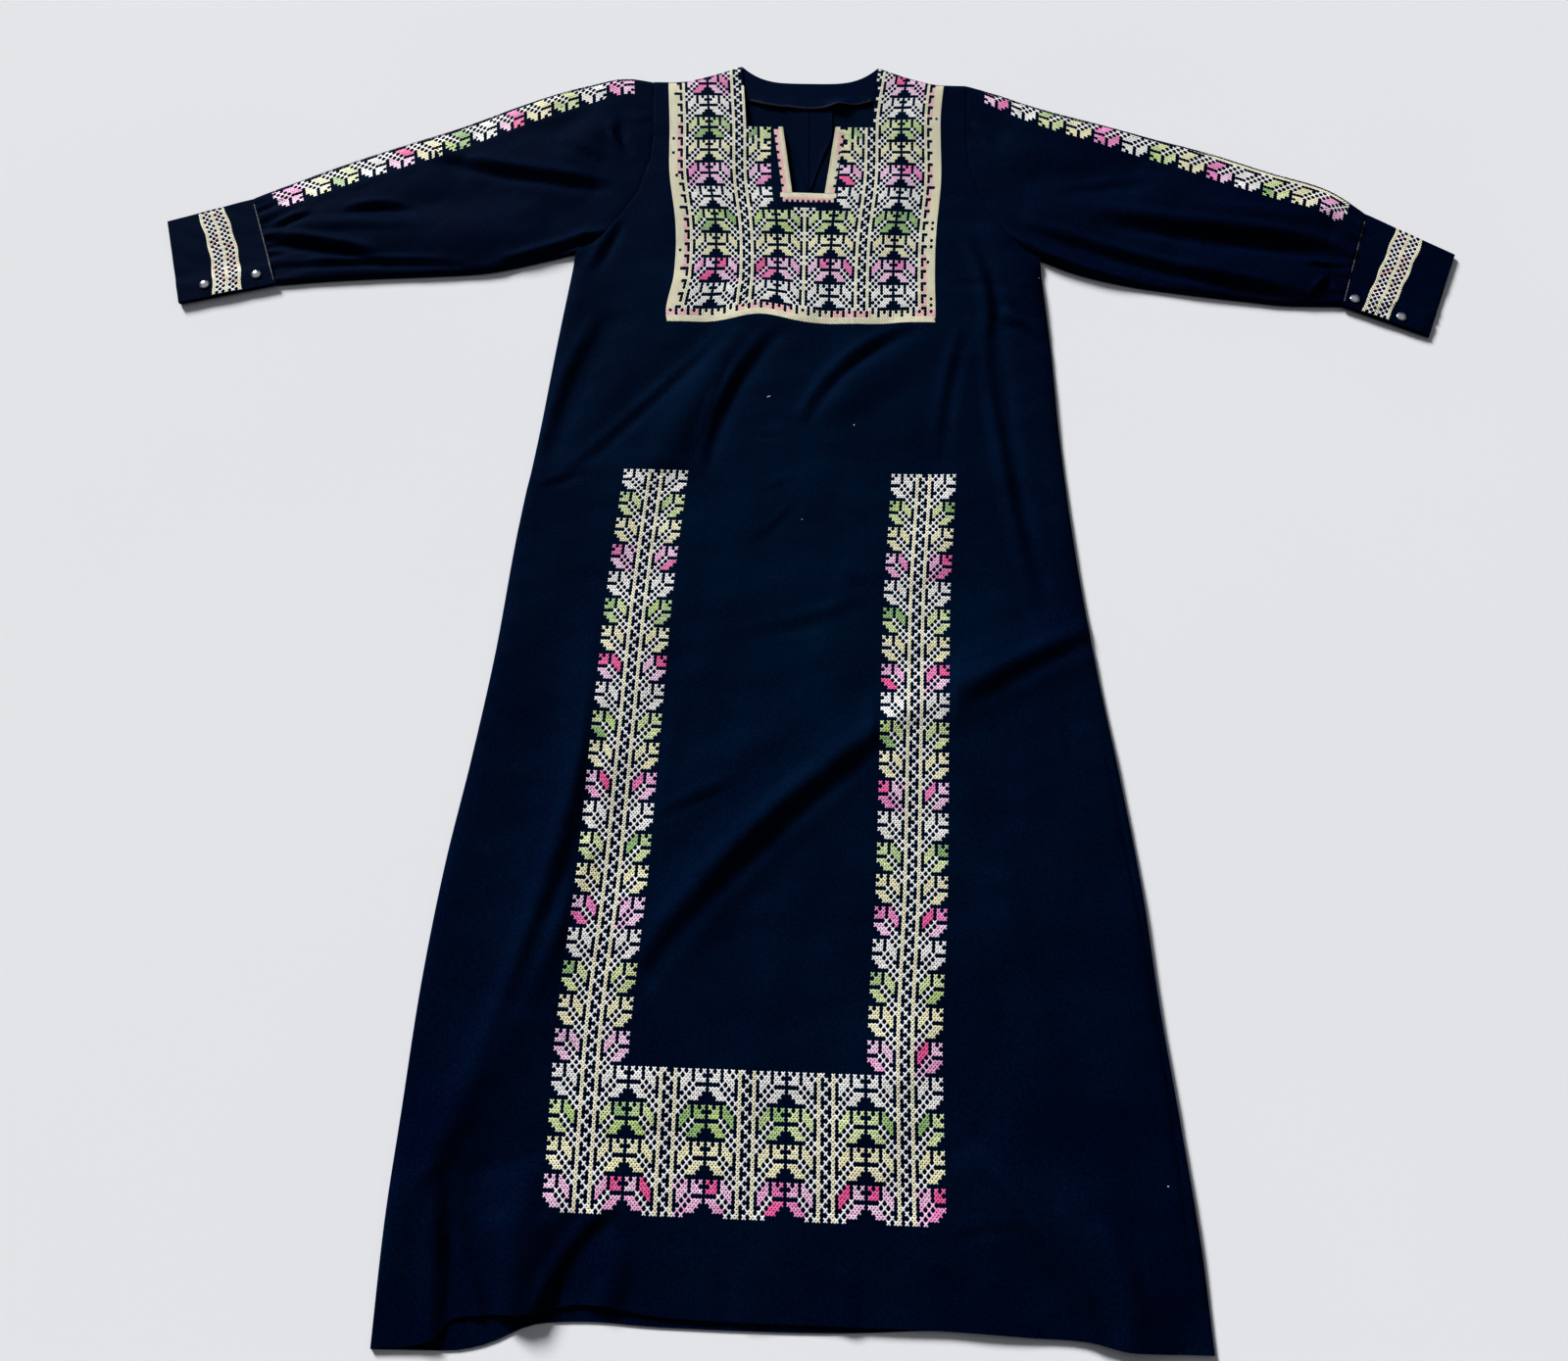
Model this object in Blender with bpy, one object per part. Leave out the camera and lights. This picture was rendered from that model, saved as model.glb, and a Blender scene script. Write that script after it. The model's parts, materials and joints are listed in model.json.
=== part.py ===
"""A long navy dress with cross-stitch embroidery, laid flat on its back.

The frame is the garment's own: +X to the wearer's left, +Y from hem to neck, +Z up from the surface
it lies on, origin in the middle of its footprint. Lengths in the tables and functions are in
millimetres, and mesh_object turns them into metres. "Along" is a place on Y, "half" a distance from
the middle line. Left and right are the wearer's.
"""

from collections import namedtuple

import bmesh
import bpy
import numpy as np

MM = 0.001

# Cloth
WALL = 1.2
SEAM_GAP = 0.3
LAYER = WALL + SEAM_GAP
THREAD_RISE = 0.8
FACING_WALL = 1.0
AIR = 3.0
SLEEVE_HOLLOW = AIR + SEAM_GAP
EDGE_ROLL = 16.0
HEM_SETTLE = 90.0
HEM_AIR_SHARE = 0.35

# Neck
NECK_HALF = 83.5
NECK_POINT = 709.0
BACK_NECK_ALONG = 683.0
FRONT_NECK_ALONG = 615.0
FRONT_NECK_HALF = 73.0
SLIT_END_ALONG = 517.0
SLIT_END_HALF = 18.5
SLIT_TOP_HALF = 31.0
FACING_EDGE_ALONG = 644.0
FACING_EDGE_RISE = 13.0
ALLOWANCE_CLEAR = 0.4

# Embroidery: stitches are counted in columns across and rows along
STITCH_ACROSS = 3.25
YOKE_COLUMNS = 91
YOKE_END_ALONG = 340.0
STRIP_COLUMNS = 21
STEM_REPEAT = 22
PANEL_STEMS = 5
STRIP_TOP_ALONG = 146.0
STRIP_END_ALONG = -474.0
PANEL_TOP_ALONG = STRIP_END_ALONG - 2 * SEAM_GAP
PANEL_END_ALONG = -602.0
ROW_TILT = 0.02
SLEEVE_STRIP_TOP = 42.0
SLEEVE_STRIP_UNDER = 26.0
SLEEVE_STRIP_START = 0.04
SLEEVE_STRIP_END = 0.96
SLEEVE_EDGE = 4.0
SLEEVE_EDGE_WALL = 1.4 * WALL
SLEEVE_LEAST_HOLLOW = 0.3
SLEEVE_INNER_COLUMNS = 7
UNDER_CLEARANCE = SEAM_GAP + THREAD_RISE
STRIP_CLEARANCE = UNDER_CLEARANCE + 0.2
STRIP_CLEAR_BLEND = 14.0

# Cuffs and buttons
CUFF_WALL = 1.4
CUFF_LAP = 24.0
LAP_SLOPE = 12.0
TUCK_CLEAR = 3.0
TUCKED_POINTS = 2
SKEW_FROM = 4.0
SKEW_BLEND = 1.5
BAND_START = 0.35
BAND_END = 0.65
BUTTON_RADIUS = 5.7
BUTTON_PROFILE = ((0.0, 3.0), (2.4, 2.8), (4.4, 2.1), (5.4, 1.2), (5.7, 0.6), (5.2, 0.0), (0.0, 0.0))
BUTTON_SIDES = 16

ROW_STEP = 36.0
FLANK_SHARES = (0.3, 0.7, 0.93, 1.0)
BACK_ROW_STEP = 75.0
BACK_COLUMNS = (-60.0, -30.0, 0.0, 30.0, 60.0)
BACK_HEM_BLEND = 120.0
BACK_TOP_BLEND = 158.0
SLEEVE_STATIONS = 14
CUFF_STATIONS = 5
LEAST_LIFT = 0.4
SHARP_ANGLE = 40.0

Side = namedtuple("Side", "name sign")
RIGHT, LEFT = Side("right", -1), Side("left", 1)

# The body's outline: half its width at each place along, and how far the middle has drifted sideways
BodySection = namedtuple("BodySection", "along half drift")
BODY_SECTIONS = (
    BodySection(-709, 359, -1),
    BodySection(-610, 357, -3),
    BodySection(-520, 351, -5),
    BodySection(-410, 343, -8),
    BodySection(-290, 333, -7),
    BodySection(-190, 320, -6),
    BodySection(-80, 306, -7),
    BodySection(60, 293, -9),
    BodySection(200, 281, -6),
    BodySection(300, 275, -3),
    BodySection(429, 265, 0),
)

# The armhole seam, from the armpit up to the shoulder point. It runs straight from row to row, and
# the panels have a line of points at every row, so that the sleeve meets them evenly
ArmholeSection = namedtuple("ArmholeSection", "along half")
ARMHOLE_SECTIONS = (
    ArmholeSection(429, 265),
    ArmholeSection(441, 248),
    ArmholeSection(460, 231),
    ArmholeSection(489, 214),
    ArmholeSection(517, 199),
    ArmholeSection(566, 187.5),
    ArmholeSection(615, 186),
    ArmholeSection(683, 190),
)

# The top edge from the neck point out to the shoulder point
ShoulderSection = namedtuple("ShoulderSection", "half along")
SHOULDER_SECTIONS = (
    ShoulderSection(83.5, 709),
    ShoulderSection(125, 692),
    ShoulderSection(155, 684),
    ShoulderSection(190, 683),
)

# Both hems: the back hem hangs lower where the front one is drawn up by its folds
HemSection = namedtuple("HemSection", "across front back")
HEM_SECTIONS = (
    HemSection(-361, -709, -709),
    HemSection(-302, -708, -709),
    HemSection(-266, -688, -706),
    HemSection(-224, -680, -688),
    HemSection(-187, -673, -685),
    HemSection(-115, -680, -688),
    HemSection(44, -685, -690),
    HemSection(128, -687, -687),
    HemSection(203, -691, -690),
    HemSection(254, -694, -693),
    HemSection(288, -701, -700),
    HemSection(359, -702, -701),
)

# The middle line of the front's embroidery, and how far the open neck spreads it to each side
FrontLine = namedtuple("FrontLine", "along centre spread")
FRONT_LINES = (
    FrontLine(-709, -45, 0),
    FrontLine(-471, -45, 0),
    FrontLine(-300, -36, 0),
    FrontLine(-150, -31, 0),
    FrontLine(13, -25, 0),
    FrontLine(141, -16, 0),
    FrontLine(342, -5, 0),
    FrontLine(454, -4, 3),
    FrontLine(539, -4, 12),
    FrontLine(624, -4, 15),
    FrontLine(709, -1, 24),
)

# The pressed-open edges of the neck dart, down the middle of the back
AllowanceSection = namedtuple("AllowanceSection", "along half")
ALLOWANCES = (
    AllowanceSection(525, 2.2),
    AllowanceSection(568, 15),
    AllowanceSection(612, 27.5),
    AllowanceSection(682, 27.5),
)

# Sleeve edges: a row for each reach from the middle line, with both edges of both sleeves
SleeveSection = namedtuple("SleeveSection", "reach right_top left_top")
SLEEVE_TOPS = (
    SleeveSection(190.3, 683, 683),
    SleeveSection(225, 687, 670),
    SleeveSection(266, 676, 653),
    SleeveSection(342, 645, 628),
    SleeveSection(410, 611, 605),
    SleeveSection(470, 585, 586),
    SleeveSection(540, 554, 558),
    SleeveSection(612, 518, 530),
    SleeveSection(646, 500, 500),
)
UnderarmSection = namedtuple("UnderarmSection", "reach right_under left_under")
SLEEVE_UNDERS = (
    UnderarmSection(265.3, 429, 429),
    UnderarmSection(300, 418, 413),
    UnderarmSection(364, 401, 395),
    UnderarmSection(427, 395, 385),
    UnderarmSection(490, 391, 377),
    UnderarmSection(550, 386, 371),
    UnderarmSection(602, 380, 371),
)

# Cuff corners, as (across, along): the seam to the sleeve, then the open end. Skew is how far the
# lapped end is turned back at its lower corner
Cuff = namedtuple("Cuff", "side seam_top seam_under end_top end_under skew buttons")
CUFFS = (
    Cuff(
        RIGHT, (-646, 500), (-602, 380), (-741.5, 466), (-708, 352), 0.0, ((0.17, 17), (0.71, 17))
    ),
    Cuff(LEFT, (646, 500), (602, 371), (741.5, 444), (695, 331), 11.0, ((0.13, 13), (0.725, 10))),
)

# The largest folds, each a soft ridge (rise above 0) or trough on a line bowed to one side
Fold = namedtuple("Fold", "x0 y0 x1 y1 bow width rise")
FOLDS = (
    # bodice
    Fold(-205, 420, -285, 150, 8, 44, -2.5),
    Fold(-95, 330, -240, 155, -8, 34, -2.0),
    Fold(-34, 340, -110, 150, -6, 36, -2.6),
    Fold(-70, 330, -165, 120, -8, 34, 5.0),
    Fold(145, 340, -10, 205, 10, 38, 4.0),
    Fold(205, 395, 212, 150, -10, 40, -2.5),
    Fold(196, 475, 262, 320, 8, 40, 4.5),
    # skirt
    Fold(312, -35, 20, -185, -14, 46, 7.0),
    Fold(60, -150, -140, -385, -14, 50, 8.0),
    Fold(45, -105, -150, -235, 8, 46, 3.5),
    Fold(-178, 10, -268, -440, 12, 60, 6.0),
    Fold(-225, 20, -300, -400, 10, 50, -2.5),
    Fold(-262, -420, -340, -620, -6, 50, 6.0),
    Fold(-40, 125, 30, 112, 6, 46, 2.5),
    Fold(-95, -20, 85, 0, 10, 60, 2.5),
    # hem
    Fold(-296, -560, -262, -708, 6, 40, -3.0),
    Fold(-250, -560, -225, -700, 0, 52, 10.0),
    Fold(-175, -590, -212, -690, 0, 44, -2.0),
    Fold(110, -560, 262, -706, 14, 46, -2.5),
    Fold(150, -540, 312, -712, 14, 54, 8.0),
    # sleeves
    Fold(-230, 640, -300, 560, 6, 36, 4.0),
    Fold(-250, 530, -400, 560, -10, 60, 5.0),
    Fold(-300, 470, -600, 450, 12, 50, 6.0),
    Fold(-420, 545, -620, 470, 8, 44, 5.0),
    Fold(230, 600, 330, 560, -6, 44, 4.0),
    Fold(250, 500, 420, 470, 10, 56, 5.0),
    Fold(380, 540, 600, 470, -10, 56, 7.0),
    Fold(420, 420, 590, 400, 6, 44, 6.0),
)


def smooth_curve(places, values, at):
    """A soft curve through a table's columns, flat past its ends and never past its rows."""
    places = np.asarray(places, float)
    values = np.asarray(values, float)
    slopes = np.gradient(values, places)
    steps = np.diff(values) / np.diff(places)
    for i, step in enumerate(steps):
        limit = 3.0 * abs(step)
        slopes[i] = np.clip(slopes[i], -limit, limit)
        slopes[i + 1] = np.clip(slopes[i + 1], -limit, limit)
    at = np.clip(at, places[0], places[-1])
    i = np.clip(np.searchsorted(places, at, side="right") - 1, 0, len(places) - 2)
    gap = places[i + 1] - places[i]
    t = (at - places[i]) / gap
    rise = t * t * (3.0 - 2.0 * t)
    return (
        values[i] * (1.0 - rise)
        + values[i + 1] * rise
        + gap * t * (1.0 - t) * ((1.0 - t) * slopes[i] - t * slopes[i + 1])
    )


def column(rows, name):
    return [getattr(row, name) for row in rows]


def from_table(rows, key, name, at):
    return smooth_curve(column(rows, key), column(rows, name), at)


def ease(t):
    t = np.clip(t, 0.0, 1.0)
    return t * t * (3.0 - 2.0 * t)


# Outlines in plan


def armhole_half(along):
    return np.interp(along, column(ARMHOLE_SECTIONS, "along"), column(ARMHOLE_SECTIONS, "half"))


def body_edge(sign, along):
    """Where the side seam, or above the armpit the armhole seam, lies across."""
    if along >= ARMHOLE_SECTIONS[0].along:
        return sign * armhole_half(along)
    half = from_table(BODY_SECTIONS, "along", "half", along)
    return from_table(BODY_SECTIONS, "along", "drift", along) + sign * half


def shoulder_along(across):
    return from_table(SHOULDER_SECTIONS, "half", "along", abs(across))


def back_top_along(across):
    """The back's top edge: the shallow round of the neck, then the shoulder."""
    if abs(across) >= NECK_HALF:
        return shoulder_along(across)
    return BACK_NECK_ALONG + (NECK_POINT - BACK_NECK_ALONG) * (abs(across) / NECK_HALF) ** 4


def hem_along(layer, across):
    return from_table(HEM_SECTIONS, "across", layer, across)


def front_centre(along):
    return from_table(FRONT_LINES, "along", "centre", along)


def neck_spread(along):
    return from_table(FRONT_LINES, "along", "spread", along)


# Heights


def fold_rise(x, y):
    """The height that the folds add to, or take from, the cloth at a place in plan."""
    total = 0.0
    for fold in FOLDS:
        run = np.array((fold.x1 - fold.x0, fold.y1 - fold.y0), float)
        length = np.hypot(*run)
        run /= length
        offset = np.array((x - fold.x0, y - fold.y0))
        t = offset @ run / length
        if not 0.0 < t < 1.0:
            continue
        aside = offset @ np.array((-run[1], run[0])) - fold.bow * 4.0 * t * (1.0 - t)
        if abs(aside) < fold.width:
            across = 0.5 + 0.5 * np.cos(np.pi * aside / fold.width)
            total += fold.rise * across * np.sin(np.pi * t) ** 0.6
    return total


def rolled(distance):
    """From 0 on a folded or sewn edge to 1 where the cloth lies level."""
    share = np.clip(distance / EDGE_ROLL, 0.0, 1.0)
    return np.sqrt(1.0 - (1.0 - share) ** 2)


def front_underside(x, y):
    """Height of the underside of the front panel, which lies on the back and comes down to it at its edges."""
    if y < ARMHOLE_SECTIONS[0].along:
        to_side = min(x - body_edge(-1, y), body_edge(1, y) - x)
        edge = rolled(to_side)
    else:
        edge = rolled(shoulder_along(x) - y)
    hem_air = HEM_AIR_SHARE + (1.0 - HEM_AIR_SHARE) * ease((y - hem_along("front", x)) / HEM_SETTLE)
    return LAYER + max(AIR * hem_air + fold_rise(x, y), LEAST_LIFT) * edge


# Meshes


def mesh_object(name, points, triangles, material):
    """A closed mesh in metres, faces out and shaded smooth but for its sharp edges."""
    mesh = bpy.data.meshes.new(name)
    mesh.from_pydata([tuple(np.asarray(p, float) * MM) for p in points], [], triangles)
    shape = bmesh.new()
    shape.from_mesh(mesh)
    bmesh.ops.recalc_face_normals(shape, faces=shape.faces)
    shape.to_mesh(mesh)
    shape.free()
    mesh.materials.append(material)
    mesh.shade_smooth()
    mesh.set_sharp_from_angle(angle=np.radians(SHARP_ANGLE))
    made = bpy.data.objects.new(name, mesh)
    bpy.context.scene.collection.objects.link(made)
    return made


def shell(name, inner, outer, material, keep=None, closed=False):
    """A wall between two grids of points, of the same rows and columns.

    keep(i, j) says which cells are cloth. A closed shell joins its last column to its first.
    Both faces of a cell are split along the same diagonal, so that walls stay even.
    """
    inner, outer = np.asarray(inner, float), np.asarray(outer, float)
    rows, columns = inner.shape[:2]
    spans = columns if closed else columns - 1
    cells = {(i, j) for i in range(rows - 1) for j in range(spans) if keep is None or keep(i, j)}
    index = {}
    points = []

    def corner(side, i, j):
        key = (side, i, j % columns)
        if key not in index:
            index[key] = len(points)
            points.append((inner, outer)[side][i, j % columns])
        return index[key]

    triangles = []

    def quad(a, b, c, d):
        triangles.extend(((a, b, c), (a, c, d)))

    for i, j in cells:
        ring = ((i, j), (i, j + 1), (i + 1, j + 1), (i + 1, j))
        quad(*(corner(1, *at) for at in ring))
        a, b, c, d = (corner(0, *at) for at in ring)
        triangles.extend(((a, c, b), (a, d, c)))
        next_to = ((i - 1, j), (i, j + 1), (i + 1, j), (i, j - 1))
        for side, (ni, nj) in enumerate(next_to):
            beside = (ni, nj % spans) if closed else (ni, nj)
            if beside in cells:
                continue
            start, end = ring[side], ring[(side + 1) % 4]
            quad(corner(0, *start), corner(0, *end), corner(1, *end), corner(1, *start))
    return mesh_object(name, points, triangles, material)


def raised(grid, height):
    lifted = np.array(grid, float)
    lifted[..., 2] += height
    return lifted


def evenly(start, end, step=ROW_STEP):
    return list(np.linspace(start, end, max(2, int(round(abs(end - start) / step)) + 1)))


def joined(*runs):
    """Runs of places joined end to end, with each shared end kept once."""
    places = list(runs[0])
    for run in runs[1:]:
        places.extend(run[1:])
    return places


# Panels


def front_columns(along):
    """Where the front's lines lie across at one place along, from its right edge to its left edge.

    The lines follow the embroidery: the edges of the slit, the neck, the yoke and the strips.
    """
    strip_half = STRIP_COLUMNS * STITCH_ACROSS / 2
    outer_stem = (PANEL_STEMS - 1) * STEM_REPEAT * STITCH_ACROSS / 2
    yoke_half = YOKE_COLUMNS * STITCH_ACROSS / 2
    on_yoke = ease((along - STRIP_TOP_ALONG) / (YOKE_END_ALONG - STRIP_TOP_ALONG))
    inner = outer_stem - strip_half
    outer = outer_stem + strip_half + (yoke_half - outer_stem - strip_half) * on_yoke
    up_slit = np.clip((along - SLIT_END_ALONG) / (FRONT_NECK_ALONG - SLIT_END_ALONG), 0.0, 1.0)
    slit = SLIT_END_HALF + (SLIT_TOP_HALF - SLIT_END_HALF) * up_slit
    up_neck = np.clip((along - FRONT_NECK_ALONG) / (NECK_POINT - FRONT_NECK_ALONG), 0.0, 1.0)
    neck = FRONT_NECK_HALF + (NECK_HALF - FRONT_NECK_HALF) * up_neck
    centre, spread = front_centre(along), neck_spread(along)
    shoulder_point = ARMHOLE_SECTIONS[-1].along
    edge_along = min(along, FRONT_NECK_ALONG) + (shoulder_point - FRONT_NECK_ALONG) * up_neck
    centre_at_neck = centre * (1.0 - ease((along - YOKE_END_ALONG) / (SLIT_END_ALONG - YOKE_END_ALONG)))
    lines = [centre_at_neck]
    for sign in (-1, 1):
        edge = body_edge(sign, edge_along)
        near = [
            centre_at_neck + sign * slit,
            centre_at_neck + sign * neck,
            centre + sign * (inner + spread),
            centre + sign * ((inner + outer) / 2 + spread),
            centre + sign * (outer + spread),
        ]
        room = edge - near[-1]
        near += [near[-1] + room * share for share in FLANK_SHARES]
        lines = near[::-1] + lines if sign < 0 else lines + near
    return lines


FRONT_CENTRE_LINE = 9
SLIT_CELLS = range(FRONT_CENTRE_LINE - 1, FRONT_CENTRE_LINE + 1)
NECK_CELLS = range(FRONT_CENTRE_LINE - 2, FRONT_CENTRE_LINE + 2)
YOKE_CELLS = range(FRONT_CENTRE_LINE - 5, FRONT_CENTRE_LINE + 5)
STRIP_CELLS = {
    "right": range(FRONT_CENTRE_LINE - 5, FRONT_CENTRE_LINE - 3),
    "left": range(FRONT_CENTRE_LINE + 3, FRONT_CENTRE_LINE + 5),
}


def front_rows():
    return joined(
        evenly(HEM_SECTIONS[0].front, PANEL_END_ALONG),
        evenly(PANEL_END_ALONG, PANEL_TOP_ALONG),
        [PANEL_TOP_ALONG, STRIP_END_ALONG],
        evenly(STRIP_END_ALONG, STRIP_TOP_ALONG),
        evenly(STRIP_TOP_ALONG, YOKE_END_ALONG),
        evenly(YOKE_END_ALONG, BODY_SECTIONS[-1].along),
        column(ARMHOLE_SECTIONS, "along")[:-1],
        evenly(FRONT_NECK_ALONG, NECK_POINT, 31.0),
    )


def front_grid():
    """Points of the underside of the front panel, a row of points for each place along."""
    grid = []
    for along in front_rows():
        row = []
        for x in front_columns(along):
            y = along - ROW_TILT * (x - front_centre(along)) * ease((STRIP_TOP_ALONG - along) / ROW_STEP)
            if along < PANEL_END_ALONG:
                to_hem = (PANEL_END_ALONG - along) / (PANEL_END_ALONG - HEM_SECTIONS[0].front)
                level = PANEL_END_ALONG - ROW_TILT * (x - front_centre(along))
                y = level + (hem_along("front", x) - level) * to_hem
            if along > FRONT_NECK_ALONG:
                to_shoulder = (along - FRONT_NECK_ALONG) / (NECK_POINT - FRONT_NECK_ALONG)
                y = FRONT_NECK_ALONG + (shoulder_along(x) - FRONT_NECK_ALONG) * to_shoulder
            row.append((x, y, front_underside(x, y)))
        grid.append(row)
    return np.array(grid)


def build_front(cloth, thread):
    rows = front_rows()
    grid = front_grid()
    slit_row, neck_row = rows.index(SLIT_END_ALONG), rows.index(FRONT_NECK_ALONG)

    def is_cloth(i, j):
        in_slit = slit_row <= i < neck_row and j in SLIT_CELLS
        in_neck = i >= neck_row and j in NECK_CELLS
        return not (in_slit or in_neck)

    shell("front_panel", grid, raised(grid, WALL), cloth, is_cloth)

    def embroider(name, columns, start, end):
        first, last = rows.index(start), rows.index(end)
        on_cloth = raised(grid[first : last + 1, columns[0] : columns[-1] + 2], LAYER)
        shell(
            name,
            on_cloth,
            raised(on_cloth, THREAD_RISE),
            thread,
            lambda i, j: is_cloth(i + first, j + columns[0]),
        )

    embroider("yoke_embroidery", YOKE_CELLS, YOKE_END_ALONG, rows[-1])
    for side in (RIGHT, LEFT):
        cells = STRIP_CELLS[side.name]
        embroider(f"skirt_strip_{side.name}", cells, STRIP_END_ALONG, STRIP_TOP_ALONG)
    embroider("skirt_panel_embroidery", YOKE_CELLS, PANEL_END_ALONG, PANEL_TOP_ALONG)


def build_back(cloth):
    """The back panel, flat on the surface, with its round neck and its hem below the front's."""
    rows = joined(
        evenly(HEM_SECTIONS[0].back, BODY_SECTIONS[-1].along, BACK_ROW_STEP),
        column(ARMHOLE_SECTIONS, "along"),
    )
    grid = []
    for along in rows:
        right, left = body_edge(-1, along), body_edge(1, along)
        inner = [-NECK_HALF, *BACK_COLUMNS, NECK_HALF]
        across = [right, (right - NECK_HALF) / 2, *inner, (left + NECK_HALF) / 2, left]
        low, high = HEM_SECTIONS[0].back, rows[-1]
        row = []
        for x in across:
            to_hem = ease((low + BACK_HEM_BLEND - along) / BACK_HEM_BLEND)
            to_top = ease((along - high + BACK_TOP_BLEND) / BACK_TOP_BLEND)
            y = along + (hem_along("back", x) - low) * to_hem + (back_top_along(x) - high) * to_top
            row.append((x, y, 0.0))
        grid.append(row)
    shell("back_panel", grid, raised(grid, WALL), cloth)


def facing_edge_along(across):
    return FACING_EDGE_ALONG + FACING_EDGE_RISE * (across / NECK_HALF) ** 2


def build_neck_inside(cloth):
    """What the neck opening shows of the inside: the pressed-open allowances and the facing over them."""
    for side in (RIGHT, LEFT):
        grid = [
            [(side.sign * x, row.along, LAYER) for x in (ALLOWANCE_CLEAR, row.half)]
            for row in ALLOWANCES
        ]
        name = f"back_allowance_{side.name}"
        shell(name, grid, raised(grid, FACING_WALL), cloth)
    grid = []
    for share in np.linspace(0.0, 1.0, 3):
        row = []
        for across in np.linspace(-1.0, 1.0, 11):
            along = facing_edge_along(across * NECK_HALF)
            along += (back_top_along(across * NECK_HALF) - along) * share
            up_neck = (along - FRONT_NECK_ALONG) / (NECK_POINT - FRONT_NECK_ALONG)
            reach = FRONT_NECK_HALF + (NECK_HALF - FRONT_NECK_HALF) * up_neck - SEAM_GAP * 2
            row.append((across * reach, along, LAYER + FACING_WALL + SEAM_GAP))
        grid.append(row)
    shell("back_neck_facing", grid, raised(grid, FACING_WALL), cloth)


# Sleeves


def along_path(points, share, curve=smooth_curve):
    """The point at a share of the length of a path through the given points."""
    points = np.asarray(points, float)
    lengths = np.concatenate(([0.0], np.cumsum(np.hypot(*np.diff(points, axis=0).T))))
    at = share * lengths[-1]
    return np.array([curve(lengths, points[:, k], at) for k in (0, 1)])


def straight_runs(places, values, at):
    return np.interp(at, places, values)


class SleeveLay:
    """Where one sleeve lies: shares run from the armhole to the cuff, and from its top fold to its underarm."""

    def __init__(self, cuff):
        side = cuff.side
        self.sign = side.sign
        tops = [(side.sign * row.reach, getattr(row, f"{side.name}_top")) for row in SLEEVE_TOPS]
        unders = [
            (side.sign * row.reach, getattr(row, f"{side.name}_under")) for row in SLEEVE_UNDERS
        ]
        gap = SEAM_GAP * side.sign
        armhole = [(side.sign * row.half + gap, row.along) for row in reversed(ARMHOLE_SECTIONS)]
        self.edges = {"top": tops, "under": unders, "start": armhole}

    def at(self, run, across):
        top, under = (along_path(self.edges[edge], run) for edge in ("top", "under"))
        start = along_path(self.edges["start"], across, straight_runs)
        corners = [np.array(self.edges[edge][end], float) for edge in ("top", "under") for end in (0, -1)]
        end = corners[1] * (1.0 - across) + corners[3] * across
        twice = (
            corners[0] * (1 - across) * (1 - run)
            + corners[1] * (1 - across) * run
            + corners[2] * across * (1 - run)
            + corners[3] * across * run
        )
        return top * (1 - across) + under * across + start * (1 - run) + end * run - twice

    def width(self, run):
        return np.hypot(*(self.at(run, 0.0) - self.at(run, 1.0)))

    def heights(self, run, inward, width):
        """Outside heights of the lower and the upper layer at a distance in from the top fold."""
        past_strip = inward - SLEEVE_STRIP_UNDER
        lower = STRIP_CLEARANCE * (1.0 - ease(past_strip / STRIP_CLEAR_BLEND))
        x, y = self.at(run, inward / width)
        edge = rolled(min(inward, width - inward))
        hollow = max(SLEEVE_HOLLOW + fold_rise(x, y), 1.0) * edge + SLEEVE_LEAST_HOLLOW
        return lower, lower + 2 * WALL + hollow

    def ring(self, run, out, first=None, last=None):
        """Points round the sleeve, moved out by a distance, from its underarm beneath and over the top fold.

        first and last limit them to a band: how far in from the fold it reaches beneath and above.
        """
        width = self.width(run)
        to_top = self.at(run, 0.0) - self.at(run, 1.0)
        to_top /= np.hypot(*to_top)
        between = np.linspace(SLEEVE_STRIP_TOP, width - SLEEVE_EDGE, SLEEVE_INNER_COLUMNS)
        inwards = [SLEEVE_EDGE, SLEEVE_STRIP_UNDER, *between]
        on_edge = out if out > 0.0 else -SLEEVE_EDGE_WALL * (out < 0.0)
        points = []

        def add(inward, height, beyond=0.0):
            x, y = self.at(run, inward / width) + to_top * beyond
            points.append((x, y, height))

        for inward in reversed(inwards):
            if first is None or inward <= first:
                add(inward, self.heights(run, inward, width)[0] - out)
        add(0.0, sum(self.heights(run, 0.0, width)) / 2, on_edge)
        for inward in inwards:
            if last is None or inward <= last:
                add(inward, self.heights(run, inward, width)[1] + out)
        if last is None:
            add(width, sum(self.heights(run, width, width)) / 2, -on_edge)
        return points


def build_sleeve(cuff, cloth, thread):
    lay = SleeveLay(cuff)
    runs = list(np.linspace(0.0, 1.0, SLEEVE_STATIONS))
    inner = [lay.ring(run, -WALL) for run in runs]
    outer = [lay.ring(run, 0.0) for run in runs]
    shell(f"sleeve_{cuff.side.name}", inner, outer, cloth, closed=True)
    strip_runs = [run for run in runs if SLEEVE_STRIP_START < run < SLEEVE_STRIP_END]
    limits = (SLEEVE_STRIP_UNDER, SLEEVE_STRIP_TOP)
    shell(
        f"sleeve_strip_{cuff.side.name}",
        [lay.ring(run, SEAM_GAP, *limits) for run in strip_runs],
        [lay.ring(run, SEAM_GAP + THREAD_RISE, *limits) for run in strip_runs],
        thread,
    )


# Cuffs


def arc(centre, radius, start, end, count=5):
    turns = np.radians(np.linspace(start, end, count))
    return [(centre[0] + radius * np.cos(t), centre[1] + radius * np.sin(t)) for t in turns]


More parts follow.
